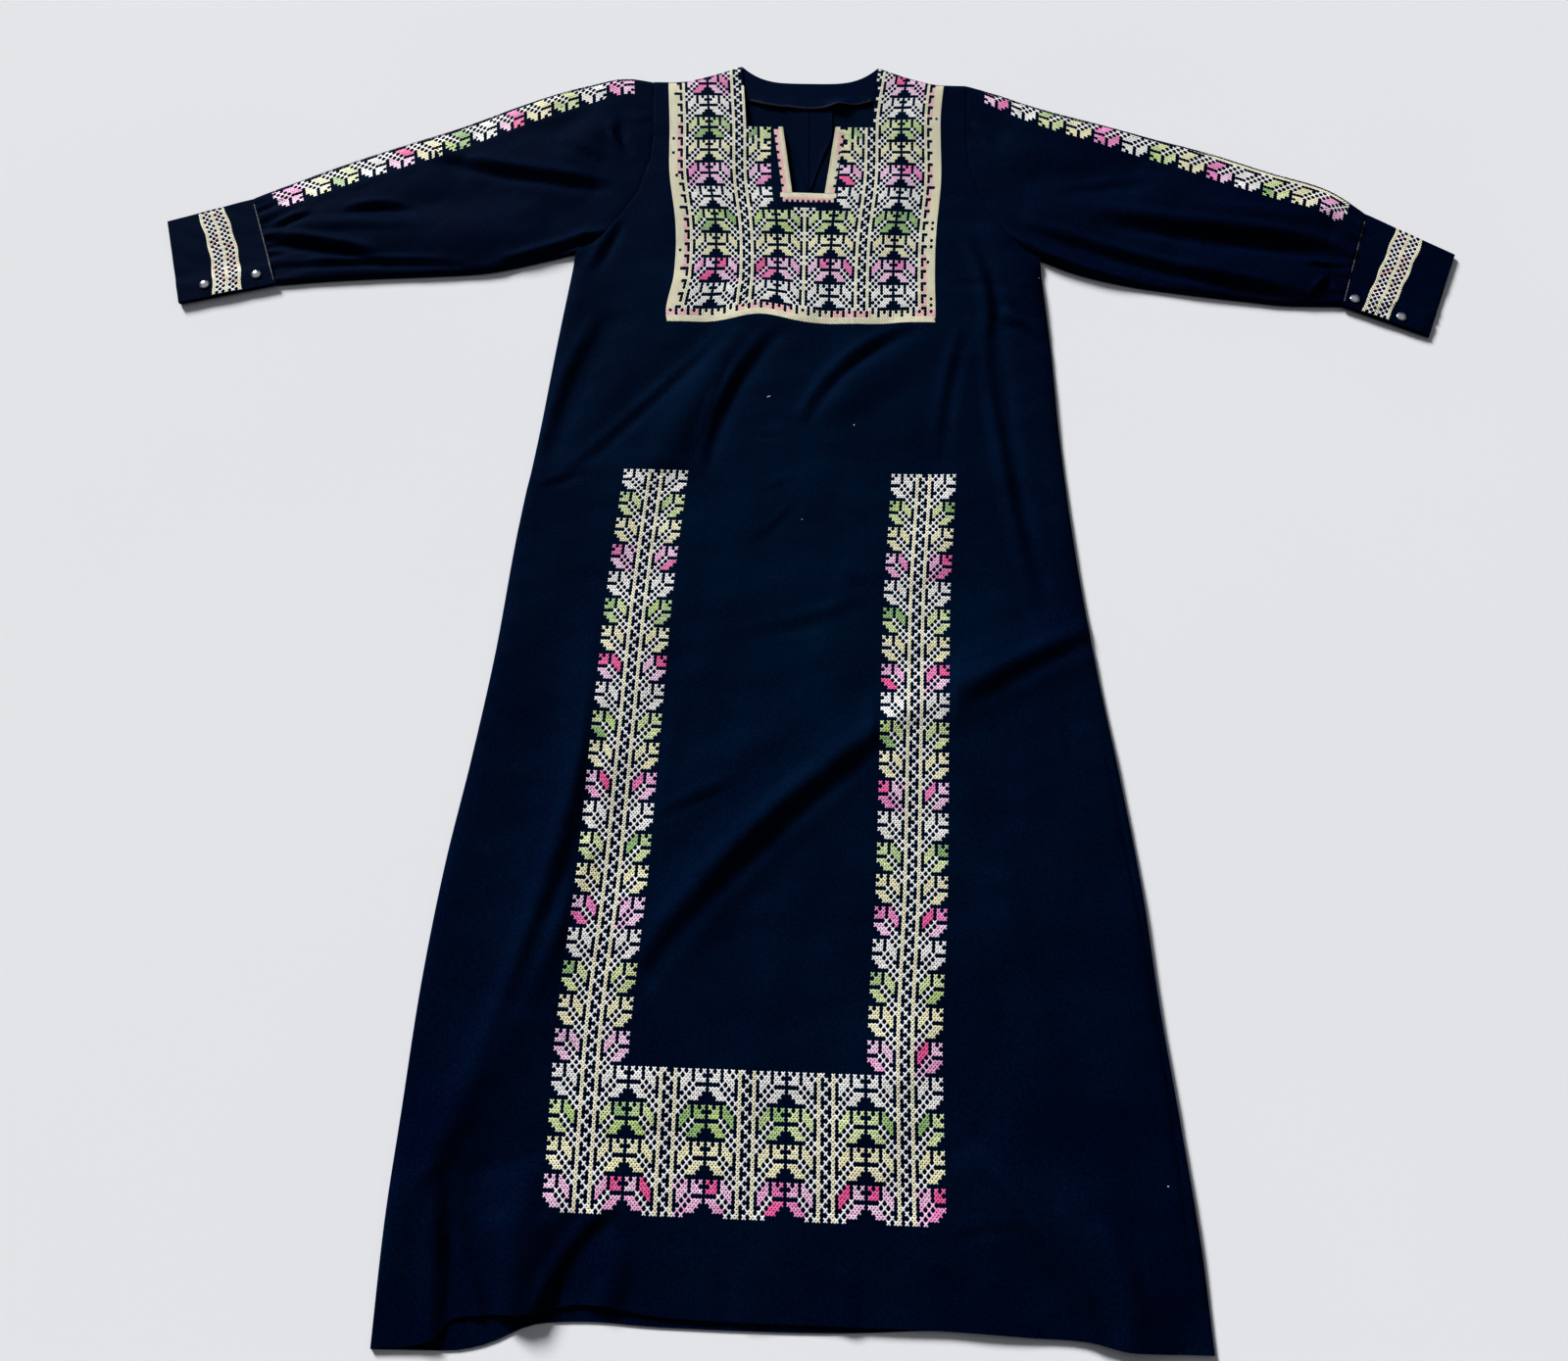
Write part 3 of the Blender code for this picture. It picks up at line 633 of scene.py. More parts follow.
def armhole_ditch(x: Array, y: Array) -> Array:
    """How far the front dips into the armhole seam."""
    distance = np.abs(armhole_half(y) - np.abs(x))
    on_seam = ease((y - ARMHOLE_SECTIONS[0].along + 12.0) / 24.0)
    return SEAM_DITCH * np.exp(-((distance / DITCH_REACH) ** 2)) * on_seam


def suppleness(x: Array, y: Array) -> Array:
    """How freely the front creases: less where the strips of stitches stiffen it.

    Args:
        x: Places across.
        y: Places along.

    Returns:
        Shares of a crease's height.
    """
    from_strip = np.abs(np.abs(x - front_centre(y)) - STRIP_OFFSET)
    across = 1.0 - ease((from_strip - STRIP_COLUMNS * STITCH_ACROSS / 2) / 9.0)
    along = ease((STRIP_TOP_ALONG + 8.0 - y) / 14.0) * ease((y - PANEL_END_ALONG + 6.0) / 14.0)
    return 1.0 - STRIP_STIFFNESS * across * along


def tilted(x: Array, along: Array) -> Array:
    """How far the skirt's rows of stitches run downhill to the wearer's left."""
    return ROW_TILT * (x - front_centre(along)) * ease((STRIP_TOP_ALONG - along) / TILT_BLEND)


def front_underside(x: Array, y: Array) -> Array:
    """Height of the underside of the front panel.

    Args:
        x: Places across.
        y: Places along.

    Returns:
        The heights, which come down to the back panel at the edges.
    """
    to_side = np.minimum(x - body_edge(-1, y), body_edge(1, y) - x)
    above = ease((y - ARMHOLE_SECTIONS[0].along + 26.0) / 26.0)
    edge = rolled(to_side) * (1.0 - above) + above
    edge = edge * np.where(y > 560.0, rolled(shoulder_along(x) - y), 1.0)
    hem = ease((y - hem_along("front", x)) / HEM_SETTLE)
    lift = AIR * (HEM_AIR_SHARE + (1.0 - HEM_AIR_SHARE) * hem)
    folded = crease_height(BODY_FOLDS, x, y) + crease_height(FRONT_CREASES, x, y)
    lift = lift + folded * suppleness(x, y)
    lift = lift + undulation(x, y, 105.0, 0.75, 1) + undulation(x, y, 38.0, 0.28, 2)
    return LAYER + at_least(lift, LEAST_LIFT) * edge + SEAM_GAP * (1.0 - edge)


def front_top(x: Array, y: Array) -> Array:
    """Height of the outer side of the front panel."""
    return front_underside(x, y) + WALL - armhole_ditch(x, y)


def on_front(x: Array, y: Array, clear: float = THREAD_CLEAR) -> Array:
    """Points just off the outer side of the front panel."""
    return np.stack((x, y, front_top(x, y) + clear), -1)


# Meshes


def grid_faces(rows: int, columns: int, closed: bool, keep: Array | None) -> Array:
    """The cells of a grid as corner numbers.

    Args:
        rows: Rows of points.
        columns: Points in a row.
        closed: Whether the last column joins the first.
        keep: Which cells are cloth, or None for all.

    Returns:
        Four corners for each cell kept.
    """
    spans = columns if closed else columns - 1
    i, j = np.meshgrid(np.arange(rows - 1), np.arange(spans), indexing="ij")
    after = (j + 1) % columns
    cells = np.stack(
        (i * columns + j, i * columns + after, (i + 1) * columns + after, (i + 1) * columns + j), -1
    )
    return cells.reshape(-1, 4) if keep is None else cells[keep]


def make_object(
    name: str, points: Array, faces: Array, material: Material, sharp: float = 50.0
) -> Piece:
    """An object of a mesh given in millimetres.

    Args:
        name: The piece's name.
        points: Its points.
        faces: Its faces as rows of corner numbers, all of one length.
        material: Its finish.
        sharp: The angle in degrees over which an edge stays sharp.

    Returns:
        The object, in the scene.
    """
    used = np.unique(faces)
    number = np.zeros(len(points), np.int64)
    number[used] = np.arange(len(used))
    mesh = bpy.data.meshes.new(name)
    mesh.from_pydata((points[used] * MM).tolist(), [], number[faces].tolist())
    mesh.materials.append(material)
    mesh.shade_smooth()
    mesh.set_sharp_from_angle(angle=np.radians(sharp))
    made = bpy.data.objects.new(name, mesh)
    bpy.context.scene.collection.objects.link(made)
    return made


def shell(
    name: str,
    inner: Array,
    outer: Array,
    material: Material,
    keep: Array | None = None,
    closed: bool = False,
    mirrored: bool = False,
) -> Piece:
    """A wall of cloth between two grids of points, of the same rows and columns.

    Args:
        name: The piece's name.
        inner: The points of its inner side.
        outer: The points of its outer side.
        material: Its finish.
        keep: Which cells are cloth, or None for all.
        closed: Whether the last column joins the first.
        mirrored: Whether the columns run the other way round.

    Returns:
        The piece.
    """
    if mirrored:
        inner, outer = inner[:, ::-1], outer[:, ::-1]
    rows, columns = inner.shape[:2]
    count = rows * columns
    cells = grid_faces(rows, columns, closed, keep)
    ends = np.concatenate([cells[:, [k, (k + 1) % 4]] for k in range(4)])
    keys = np.sort(ends, axis=1) @ np.array((count, 1))
    _, first, uses = np.unique(keys, return_index=True, return_counts=True)
    rim = ends[first[uses == 1]]
    sides = np.stack((rim[:, 1], rim[:, 0], rim[:, 0] + count, rim[:, 1] + count), -1)
    faces = np.concatenate((cells[:, ::-1], cells + count, sides))
    points = np.concatenate((inner.reshape(-1, 3), outer.reshape(-1, 3)))
    return make_object(name, points, faces, material)


def unit(vectors: Array) -> Array:
    """Vectors of length 1 in the same directions."""
    return vectors / np.maximum(np.linalg.norm(vectors, axis=-1, keepdims=True), 1e-9)


def evenly(start: float, end: float, step: float) -> list[float]:
    """Places a step or less apart."""
    return list(np.linspace(start, end, max(2, int(np.ceil(abs(end - start) / step)) + 1)))


def joined(*runs: Sequence[float]) -> list[float]:
    """Runs of places joined end to end, with each shared end kept once.

    Args:
        runs: The runs, each from where the one before it ends.

    Returns:
        One list of places.
    """
    places = list(runs[0])
    for run in runs[1:]:
        places.extend(run[1:])
    return places


def split_across(lines: Array, counts: Sequence[int]) -> Array:
    """Lines set evenly between the given ones.

    Args:
        lines: Values, a row for each place along and a column for each line.
        counts: How many parts each gap between lines is cut into.

    Returns:
        The finer set, with the given lines among them.
    """
    parts = [lines[:, :1]]
    for k, count in enumerate(counts):
        shares = np.arange(1, count + 1) / count
        parts.append(lines[:, k : k + 1] * (1 - shares) + lines[:, k + 1 : k + 2] * shares)
    return np.concatenate(parts, axis=1)


# Finishes


class Value:
    """A socket's value in sums: operators add Math nodes."""

    def __init__(self, tree: bpy.types.NodeTree, socket: bpy.types.NodeSocket) -> None:
        """Wraps an output socket."""
        self.tree = tree
        self.socket = socket

    def worked(self, operation: str, *terms: "Value | float") -> "Value":
        """A Math node on the given terms.

        Args:
            operation: What it works out.
            terms: Its terms, in order.

        Returns:
            Its result.
        """
        node = self.tree.nodes.new("ShaderNodeMath")
        node.operation = operation
        for place, term in enumerate(terms):
            if isinstance(term, Value):
                self.tree.links.new(term.socket, node.inputs[place])
            else:
                node.inputs[place].default_value = term
        return Value(self.tree, node.outputs[0])

    def __add__(self, other: "Value | float") -> "Value":
        """This plus another."""
        return self.worked("ADD", self, other)

    __radd__ = __add__

    def __sub__(self, other: "Value | float") -> "Value":
        """This less another."""
        return self.worked("SUBTRACT", self, other)

    def __rsub__(self, other: float) -> "Value":
        """A number less this."""
        return self.worked("SUBTRACT", other, self)

    def __mul__(self, other: "Value | float") -> "Value":
        """This times another."""
        return self.worked("MULTIPLY", self, other)

    __rmul__ = __mul__

    def clamped(self) -> "Value":
        """This, held between 0 and 1."""
        return self.worked("MINIMUM", self.worked("MAXIMUM", self, 0.0), 1.0)


class Finish:
    """A material as it is put together from nodes."""

    def __init__(self, name: str) -> None:
        """Starts a material with its shader and nothing else."""
        self.material = bpy.data.materials.new(name)
        self.material.use_nodes = True
        self.tree = self.material.node_tree
        self.shader = self.tree.nodes["Principled BSDF"]

    def node(
        self,
        kind: str,
        settings: dict[str, object] | None = None,
        inputs: dict[str | int, object] | None = None,
        output: str | int = 0,
    ) -> Value:
        """A node of any type.

        Args:
            kind: Its type.
            settings: Its properties, which are set first. "stops" are a ramp's.
            inputs: Values or links of its sockets, by name or place.
            output: The socket that is wanted.

        Returns:
            The value of that socket.
        """
        node = self.tree.nodes.new(kind)
        for name, value in (settings or {}).items():
            if name == "stops":
                ramp = node.color_ramp
                for place, (position, colour) in enumerate(value):
                    stop = ramp.elements[place] if place < 2 else ramp.elements.new(position)
                    stop.position = position
                    stop.color = (*colour, 1.0)
            else:
                setattr(node, name, value)
        for name, value in (inputs or {}).items():
            socket = node.inputs[name]
            if isinstance(value, Value):
                self.tree.links.new(value.socket, socket)
            else:
                socket.default_value = value
        return Value(self.tree, node.outputs[output])

    def constants(self, values: dict[str, float | tuple[float, ...]]) -> None:
        """Numbers and colours that are the same all over, set on the shader's own sockets."""
        for name, value in values.items():
            self.shader.inputs[name].default_value = value

    def feed(self, name: str, value: Value) -> None:
        """Links what varies over the surface to one of the shader's sockets."""
        self.tree.links.new(value.socket, self.shader.inputs[name])

    def mixed(self, share: Value, first: Value | Colour, second: Value | Colour) -> Value:
        """Two colours mixed by a share."""
        low, high = (end if isinstance(end, Value) else (*end, 1.0) for end in (first, second))
        return self.node("ShaderNodeMix", {"data_type": "RGBA"}, {0: share, 6: low, 7: high}, 2)

    def noise(self, place: Value, scale: float, detail: float = 2.0, rough: float = 0.5) -> Value:
        """Soft noise at a scale in cells to the metre."""
        sockets = {"Vector": place, "Scale": scale, "Detail": detail, "Roughness": rough}
        return self.node("ShaderNodeTexNoise", inputs=sockets)

    def place(self) -> Value:
        """Places on the object, in metres."""
        return self.node("ShaderNodeTexCoord", output="Object")

    def stretched(self, vector: Value, scale: tuple[float, float, float]) -> Value:
        """A place or a colour scaled apart on each axis."""
        return self.node("ShaderNodeVectorMath", {"operation": "MULTIPLY"}, {0: vector, 1: scale})

    def bump(self, height: Value, depth: float, strength: float = 1.0) -> None:
        """Feeds a height in shares of a depth in metres to the surface's direction."""
        sockets = {"Height": height, "Distance": depth, "Strength": strength}
        self.feed("Normal", self.node("ShaderNodeBump", inputs=sockets))


@dataclass(frozen=True)
class CrepeFinish:
    """Matt navy crepe: fine pebbled yarns, a faint sheen, a slow unevenness of the dye and a painted
    pool of light and sheen that makes the middle of the dress paler.
    """

    name: str
    deep: Colour
    # pale is the lighter tone that random unevenness and the painted pool of light in the middle mix
    # towards.
    pale: Colour
    roughness: float = 0.62
    sheen: float = 0.002
    pebble_scale: float = 1300.0

    def made(self) -> Material:
        """The material."""
        finish = Finish(self.name)
        place = finish.place()
        slow = finish.noise(place, 9.0, 3.0)
        pebble = finish.noise(finish.stretched(place, (1.0, 0.62, 1.0)), self.pebble_scale, 2.0)
        ribs = finish.node(
            "ShaderNodeTexWave",
            {"wave_type": "BANDS", "bands_direction": "X"},
            {"Vector": place, "Scale": 420.0, "Distortion": 5.0, "Detail": 2.0, "Detail Scale": 1.6},
        )
        specks = finish.noise(place, 420.0, 2.0)
        # Painted light and sheen: a soft pool centred on the middle of the dress mixes the cloth
        # towards its pale colour, leaving it darker towards the hem and sides.
        middle = finish.node(
            "ShaderNodeTexGradient",
            {"gradient_type": "SPHERICAL"},
            {"Vector": finish.stretched(place, (2.2, 1.1, 0.0))},
        )
        share = (slow * 0.9 + pebble * 0.5 + specks * 1.3 + middle * 0.5 - 1.12).clamped()
        finish.feed("Base Color", finish.mixed(share, self.deep, self.pale))
        finish.feed("Roughness", (slow * 0.16 + (self.roughness - 0.08)).clamped())
        finish.bump(pebble * 0.7 + ribs * 0.3, 0.00035, 0.7)
        finish.constants(
            {
                "Sheen Weight": self.sheen,
                "Sheen Roughness": 0.45,
                "Sheen Tint": (0.55, 0.66, 1.0, 1.0),
                "Specular IOR Level": 0.015,
                "Specular Tint": (0.25, 0.55, 1.0, 1.0),
            }
        )
        return finish.material


@dataclass(frozen=True)
class ThreadFinish:
    """Stranded cotton: its colour comes with each stitch, with twisted strands along it."""

    name: str
    roughness: float = 0.58

    def made(self) -> Material:
        """The material."""
        finish = Finish(self.name)
        place = finish.place()
        dyed = finish.node("ShaderNodeAttribute", {"attribute_name": STITCH_COLOUR}, output="Color")
        strands = finish.noise(place, 2600.0, 2.0)
        shade = finish.noise(place, 330.0, 2.0)
        dark = finish.stretched(dyed, (0.80, 0.77, 0.74))
        share = (strands * 0.7 + shade * 0.7 - 0.25).clamped()
        finish.feed("Base Color", finish.mixed(share, dark, dyed))
        finish.feed("Roughness", (strands * 0.2 + self.roughness - 0.1).clamped())
        finish.bump(strands, 0.0002, 0.6)
        finish.constants(
            {"Sheen Weight": 0.15, "Sheen Roughness": 0.4, "Specular IOR Level": 0.35}
        )
        return finish.material


@dataclass(frozen=True)
class MetalFinish:
    """Bright silvery metal, a little worn between its facets."""

    name: str
    colour: Colour = (0.80, 0.81, 0.84)

    def made(self) -> Material:
        """The material."""
        finish = Finish(self.name)
        place = finish.place()
        wear = finish.noise(place, 900.0, 3.0)
        worn = (wear * 2.2 - 0.9).clamped()
        finish.feed("Base Color", finish.mixed(worn, self.colour, (0.45, 0.46, 0.50)))
        finish.feed("Roughness", (worn * 0.22 + 0.10).clamped())
        finish.bump(wear, 0.00008, 0.5)
        finish.constants({"Metallic": 1.0})
        return finish.material


@dataclass(frozen=True)
class FloorFinish:
    """The plain pale surface that the dress lies on."""

    name: str
    colour: Colour = (0.595, 0.60, 0.62)

    def made(self) -> Material:
        """The material."""
        finish = Finish(self.name)
        cloud = finish.noise(finish.place(), 1.6, 3.0)
        pale = tuple(part * 0.965 for part in self.colour)
        finish.feed("Base Color", finish.mixed(cloud, self.colour, pale))
        finish.constants({"Roughness": 0.9, "Specular IOR Level": 0.05})
        return finish.material


STITCH_COLOUR = "stitch_colour"
THREAD_SHADE = 0.84


@dataclass
class Finishes:
    """Every material of the dress, made once."""

    crepe: Material = field(init=False)
    inside: Material = field(init=False)
    thread: Material = field(init=False)
    metal: Material = field(init=False)

    def __post_init__(self) -> None:
        """Makes them."""
        outside = CrepeFinish("navy_crepe", (0.0003, 0.0032, 0.0180), (0.0008, 0.0140, 0.0345))
        inside = CrepeFinish(
            "navy_crepe_inside", (0.0010, 0.0056, 0.0210), (0.0022, 0.0110, 0.0360)
        )
        self.crepe = outside.made()
        self.inside = inside.made()
        self.thread = ThreadFinish("embroidery_thread").made()
        self.metal = MetalFinish("button_metal").made()


# Stitches


class Dye(Enum):
    """The colours of the embroidery threads, each with its shades from pale to strong."""

    CREAM = ((0.765, 0.75, 0.60), (0.735, 0.715, 0.545), (0.78, 0.71, 0.56))
    WHITE = ((0.79, 0.795, 0.795), (0.76, 0.765, 0.765), (0.81, 0.81, 0.80))
    YELLOW = ((0.77, 0.76, 0.56), (0.74, 0.725, 0.50), (0.78, 0.77, 0.62))
    GREEN = ((0.66, 0.73, 0.45), (0.29, 0.46, 0.21), (0.54, 0.665, 0.31))
    PINK = ((0.79, 0.60, 0.76), (0.75, 0.30, 0.56), (0.77, 0.13, 0.34))
    BLUSH = ((0.78, 0.68, 0.60), (0.80, 0.48, 0.48), (0.80, 0.58, 0.60))

    def shade(self, depth: Array) -> Array:
        """The dye's colour at given depths.

        Args:
            depth: From 0, pale, to 2, strong.

        Returns:
            Colours, as rows of three.
        """
        shades = np.array(self.value) * THREAD_SHADE
        depth = np.clip(depth, 0.0, 1.999)
        low = depth.astype(int)
        part = (depth - low)[:, None]
        return shades[low] * (1.0 - part) + shades[low + 1] * part


# One half of the leaf, from the line that it grows from. w is its vein, o its own colour
LEAF = (
    ".w.o.o.o",
    "w.oo.oo.",
    ".ooo.ooo",
    ".oo.w...",
    ".o.w.ooo",
    "..w.ooo.",
    ".w.ooo..",
    "w.w.....",
)
# The stem between leaves: two lines with a zigzag between them
STEM = ("cw..c", "c.w.c", "c..wc", "c.w.c")
# The outer border, from the edge in: three dense lines, teeth, and the line that leaves grow from
BORDER = ("cccb.c", "cccb.c", "cccbbc", "ccc..c")
# The comb that closes the yoke below
COMB = ("b.b.", "bbb.", "cccc", "cccc")
ROW_DYES = (Dye.PINK, Dye.WHITE, Dye.GREEN, Dye.YELLOW)
# How strong the parts of a leaf are dyed, and how often each comes
LEAF_DEPTHS = (0.0, 0.15, 0.5, 1.0, 1.3, 1.9)
LEAF_DEPTH_ODDS = (0.3, 0.2, 0.15, 0.15, 0.1, 0.1)
# Above this warmth the thread round the slit is pink
BLUSH_FROM = 0.6

# A thread's stations: a share of its length, its half width as a share, and its height
THREAD_STATIONS = ((0.0, 0.70, 0.16), (0.5, 1.0, 0.46), (1.0, 0.70, 0.16))
THREAD_SHARE = 0.27
THREAD_LEAST = 0.34
THREAD_OVER = 0.6
THREAD_FACES = (
    (0, 1, 2),
    (0, 3, 1), (1, 3, 4), (1, 4, 2), (2, 4, 5), (2, 5, 0), (0, 5, 3),
    (3, 6, 4), (4, 6, 7), (4, 7, 5), (5, 7, 8), (5, 8, 3), (3, 8, 6),
    (6, 8, 7),
)
RING = len(THREAD_STATIONS) * 3


def blushing(warm: Array, strength: float = 1.0) -> Array:
    """Colours of the slit's edging from its warmth: cream, or pink above BLUSH_FROM."""
    pink = Dye.BLUSH.shade(warm * strength)
    return np.where((warm > BLUSH_FROM)[:, None], pink, Dye.CREAM.shade(warm))


def row_dyes(count: int, first: int) -> list[Dye]:
    """The colours of so many leaves one below the other, from a place in ROW_DYES on."""
    return [ROW_DYES[(place + first) % len(ROW_DYES)] for place in range(count)]


def edging(mark: str, warm: float, limit: float, plain: float) -> tuple[Dye, float]:
    """The thread of a border's cell: pink in the warm stretches of its teeth, or else cream."""
    return (Dye.BLUSH, warm * 1.5) if mark == "b" and warm > limit else (Dye.CREAM, plain)


class Stitches:
    """Cells of embroidery gathered until they are made into one mesh."""

    def __init__(self) -> None:
        """Starts with none."""
        self.corners: list[Array] = []
        self.colours: list[Array] = []
        self.straight: list[Array] = []

    def add(
        self, corners: Array, colours: Array, straight: bool = False, mirrored: bool = False
    ) -> None:
        """Adds cells.

        Args:
            corners: The four corners of each cell, turning left seen from outside.
            colours: A colour for each.
            straight: Whether each is one straight thread and not a cross.
            mirrored: Whether the corners turn right instead.
        """
        self.corners.append(corners[:, ::-1] if mirrored else corners)
        self.colours.append(colours)
        self.straight.append(np.full(len(corners), straight))

    def made(self, name: str, material: Material) -> Piece:
        """The mesh of all stitches gathered: each thread a closed ridge with three sides.

        Args:
            name: The piece's name.
            material: Its finish.

        Returns:
            The piece.
        """
        corners = np.concatenate(self.corners)
        colours = np.concatenate(self.colours)
        straight = np.concatenate(self.straight)
        draw = np.random.default_rng(SEED + len(corners))
        under = self.threads(corners, straight, 0, draw)
        over = self.threads(corners, straight, 1, draw)
        points = np.concatenate((under, over))
        colours = np.concatenate((colours, colours * draw.uniform(0.93, 1.07, (len(colours), 1))))
        count = len(points)
        faces = np.arange(count)[:, None, None] * RING + np.array(THREAD_FACES)
        made = make_object(name, points.reshape(-1, 3), faces.reshape(-1, 3), material, 75.0)
        layer = made.data.color_attributes.new(STITCH_COLOUR, "FLOAT_COLOR", "POINT")
        values = np.ones((count * RING, 4), np.float32)
        values[:, :3] = np.repeat(colours, RING, axis=0)
        layer.data.foreach_set("color", values.ravel())
        return made

    def threads(
        self, corners: Array, straight: Array, turn: int, draw: np.random.Generator
    ) -> Array:
        """The points of one thread of every stitch.

        Args:
            corners: The cells' corners.
            straight: Which cells hold straight threads.
            turn: 0 for the thread beneath, 1 for the one over it.
            draw: Where the unevenness comes from.

        Returns:
            Points by stitch, station and side.
        """
        a, b, c, d = (corners[:, k] for k in range(4))
        out = unit(np.cross(b - a, d - a))
        start, end = (a, c) if turn == 0 else (b, d)
        side_share = (0.27, 0.77)[turn]
        flat_start = a * (1 - side_share) + d * side_share
        flat_end = b * (1 - side_share) + c * side_share
        start = np.where(straight[:, None], flat_start, start)
        end = np.where(straight[:, None], flat_end, end)
        run = end - start
        slack = draw.uniform(-0.05, 0.05, (len(a), 2))
        start = start + run * (0.02 + slack[:, :1])
        run = end + run * slack[:, 1:] - start
        aside = unit(np.cross(out, run))
        size = np.minimum(np.linalg.norm(b - a, axis=1), np.linalg.norm(d - a, axis=1))[:, None]
        breadth = THREAD_SHARE * size * draw.uniform(0.9, 1.12, (len(a), 1))
        breadth = np.where(straight[:, None], np.maximum(breadth, THREAD_LEAST), breadth)
        lift = draw.uniform(0.9, 1.1, (len(a), 1)) * np.clip(size / STITCH_ACROSS, 0.5, 1.0)
        points = []
        for share, width, height in THREAD_STATIONS:
            spine = start + run * share
            crown = height * (1.0 + THREAD_OVER * turn * (1.0 - abs(2 * share - 1)))
            points.append(spine + aside * breadth * width)
            points.append(spine + out * crown * lift)
            points.append(spine - aside * breadth * width)
        return np.stack(points, axis=1)


@dataclass
class Chart:
    """A counted pattern: which cells are stitched, and in what colour.

    Rows run down from the neck, columns from the wearer's right to left.
    """

    columns: int
    rows: int
    seed: int
    cells: dict[tuple[int, int], tuple[Dye, float]] = field(default_factory=dict)

    def __post_init__(self) -> None:
        """Starts the draw of shades."""
        self.draw = np.random.default_rng(SEED + self.seed)

    def set(self, col: int, row: int, dye: Dye, depth: float) -> None:
        """Stitches one cell."""
        if 0 <= col < self.columns and 0 <= row < self.rows:
            self.cells[col, row] = (dye, depth)

    def line(self, col: int) -> None:
        """A line down the whole chart."""
        for row in range(self.rows):
            self.set(col, row, Dye.CREAM, 0.3 + 0.25 * np.sin(row / 9.0 + col))

    def leaf(
        self, line_col: int, top: int, dye: Dye, step: int, picks: Sequence[int] = range(LEAF_ROWS)
    ) -> None:
        """Half a leaf growing from a line.

        Args:
            line_col: The line's column.
            top: Its first row.
            dye: Its colour.
            step: 1 if it grows to higher columns, -1 to lower ones.
            picks: Which of its rows are stitched, one below the other.
        """
        depths = self.draw.choice(LEAF_DEPTHS, 4, p=LEAF_DEPTH_ODDS)
        if dye in (Dye.WHITE, Dye.YELLOW):
            depths = self.draw.uniform(0.0, 1.9, 4)
        for down, pick in enumerate(picks):
            for out, mark in enumerate(LEAF[pick], start=1):
                if mark == ".":
                    continue
                lobe = 0 if pick < 3 and out > 5 else 1 if pick < 5 and out < 5 else 2
                depth = depths[lobe] + self.draw.uniform(-0.25, 0.25)
                vein = Dye.WHITE if dye is not Dye.PINK or depths[3] < 1.0 else Dye.PINK
                chosen = vein if mark == "w" else dye
                self.set(line_col + step * out, top + down, chosen, 0.2 if mark == "w" else depth)

    def leaves(self, line_col: int, step: int, dyes: Sequence[Dye]) -> None:
        """Leaves one below the other along a line."""
        for count, dye in enumerate(dyes):
            self.leaf(line_col, count * LEAF_ROWS, dye, step)

    def stem(self, col: int, step: int, phase: float) -> None:
        """A stem of two lines and a zigzag.

        Args:
            col: Its first column.
            step: 1 if it runs to higher columns, -1 to lower ones.
            phase: Where its slow change of shade starts, in radians.
        """
        for row in range(self.rows):
            depth = 0.35 + 0.3 * np.sin(row / 7.0 + phase)
            for out, mark in enumerate(STEM[row % len(STEM)]):
                if mark != ".":
                    dye = Dye.CREAM if mark == "c" else Dye.WHITE
                    self.set(col + step * out, row, dye, depth)

    def leafy_stem(self, col: int, dyes: Sequence[Dye]) -> None:
        """A stem with a row of leaves down each side."""
        self.leaves(col, -1, dyes)
        self.leaves(col + len(STEM[0]) - 1, 1, dyes)
        self.stem(col, 1, col)

    def arrays(self) -> tuple[Array, Array, Array]:
        """The stitched columns, rows and colours."""
        places = np.array(list(self.cells), float)
        colours = np.empty((len(places), 3))
        chosen = list(self.cells.values())
        for dye in Dye:
            picked = np.array([entry[0] is dye for entry in chosen])
            depths = np.array([entry[1] for entry in chosen])
            if picked.any():
                colours[picked] = dye.shade(depths[picked])
        return places[:, 0], places[:, 1], colours


def cells_of(surface: Surface, cols: Array, rows: Array) -> Array:
    """The corners of chart cells laid on a surface.

    Args:
        surface: Gives points from columns and rows.
        cols: The cells' columns.
        rows: The cells' rows.

    Returns:
        Four corners for each cell.
    """
    steps = ((0, 1), (1, 1), (1, 0), (0, 0))
    return np.stack([surface(cols + dc, rows + dr) for dc, dr in steps], axis=1)


def embroidered(
    name: str, chart: Chart, surface: Surface, material: Material, mirrored: bool = False
) -> Piece:
    """One piece of a whole chart.

    Args:
        name: The piece's name.
        chart: The chart.
        surface: What it is laid on: it gives points from columns and rows.
        material: The thread's finish.
        mirrored: Whether the surface turns the chart over.

    Returns:
        The piece.
    """
    cols, rows, colours = chart.arrays()
    stitches = Stitches()
    stitches.add(cells_of(surface, cols, rows), colours, mirrored=mirrored)
    return stitches.made(name, material)


# The body


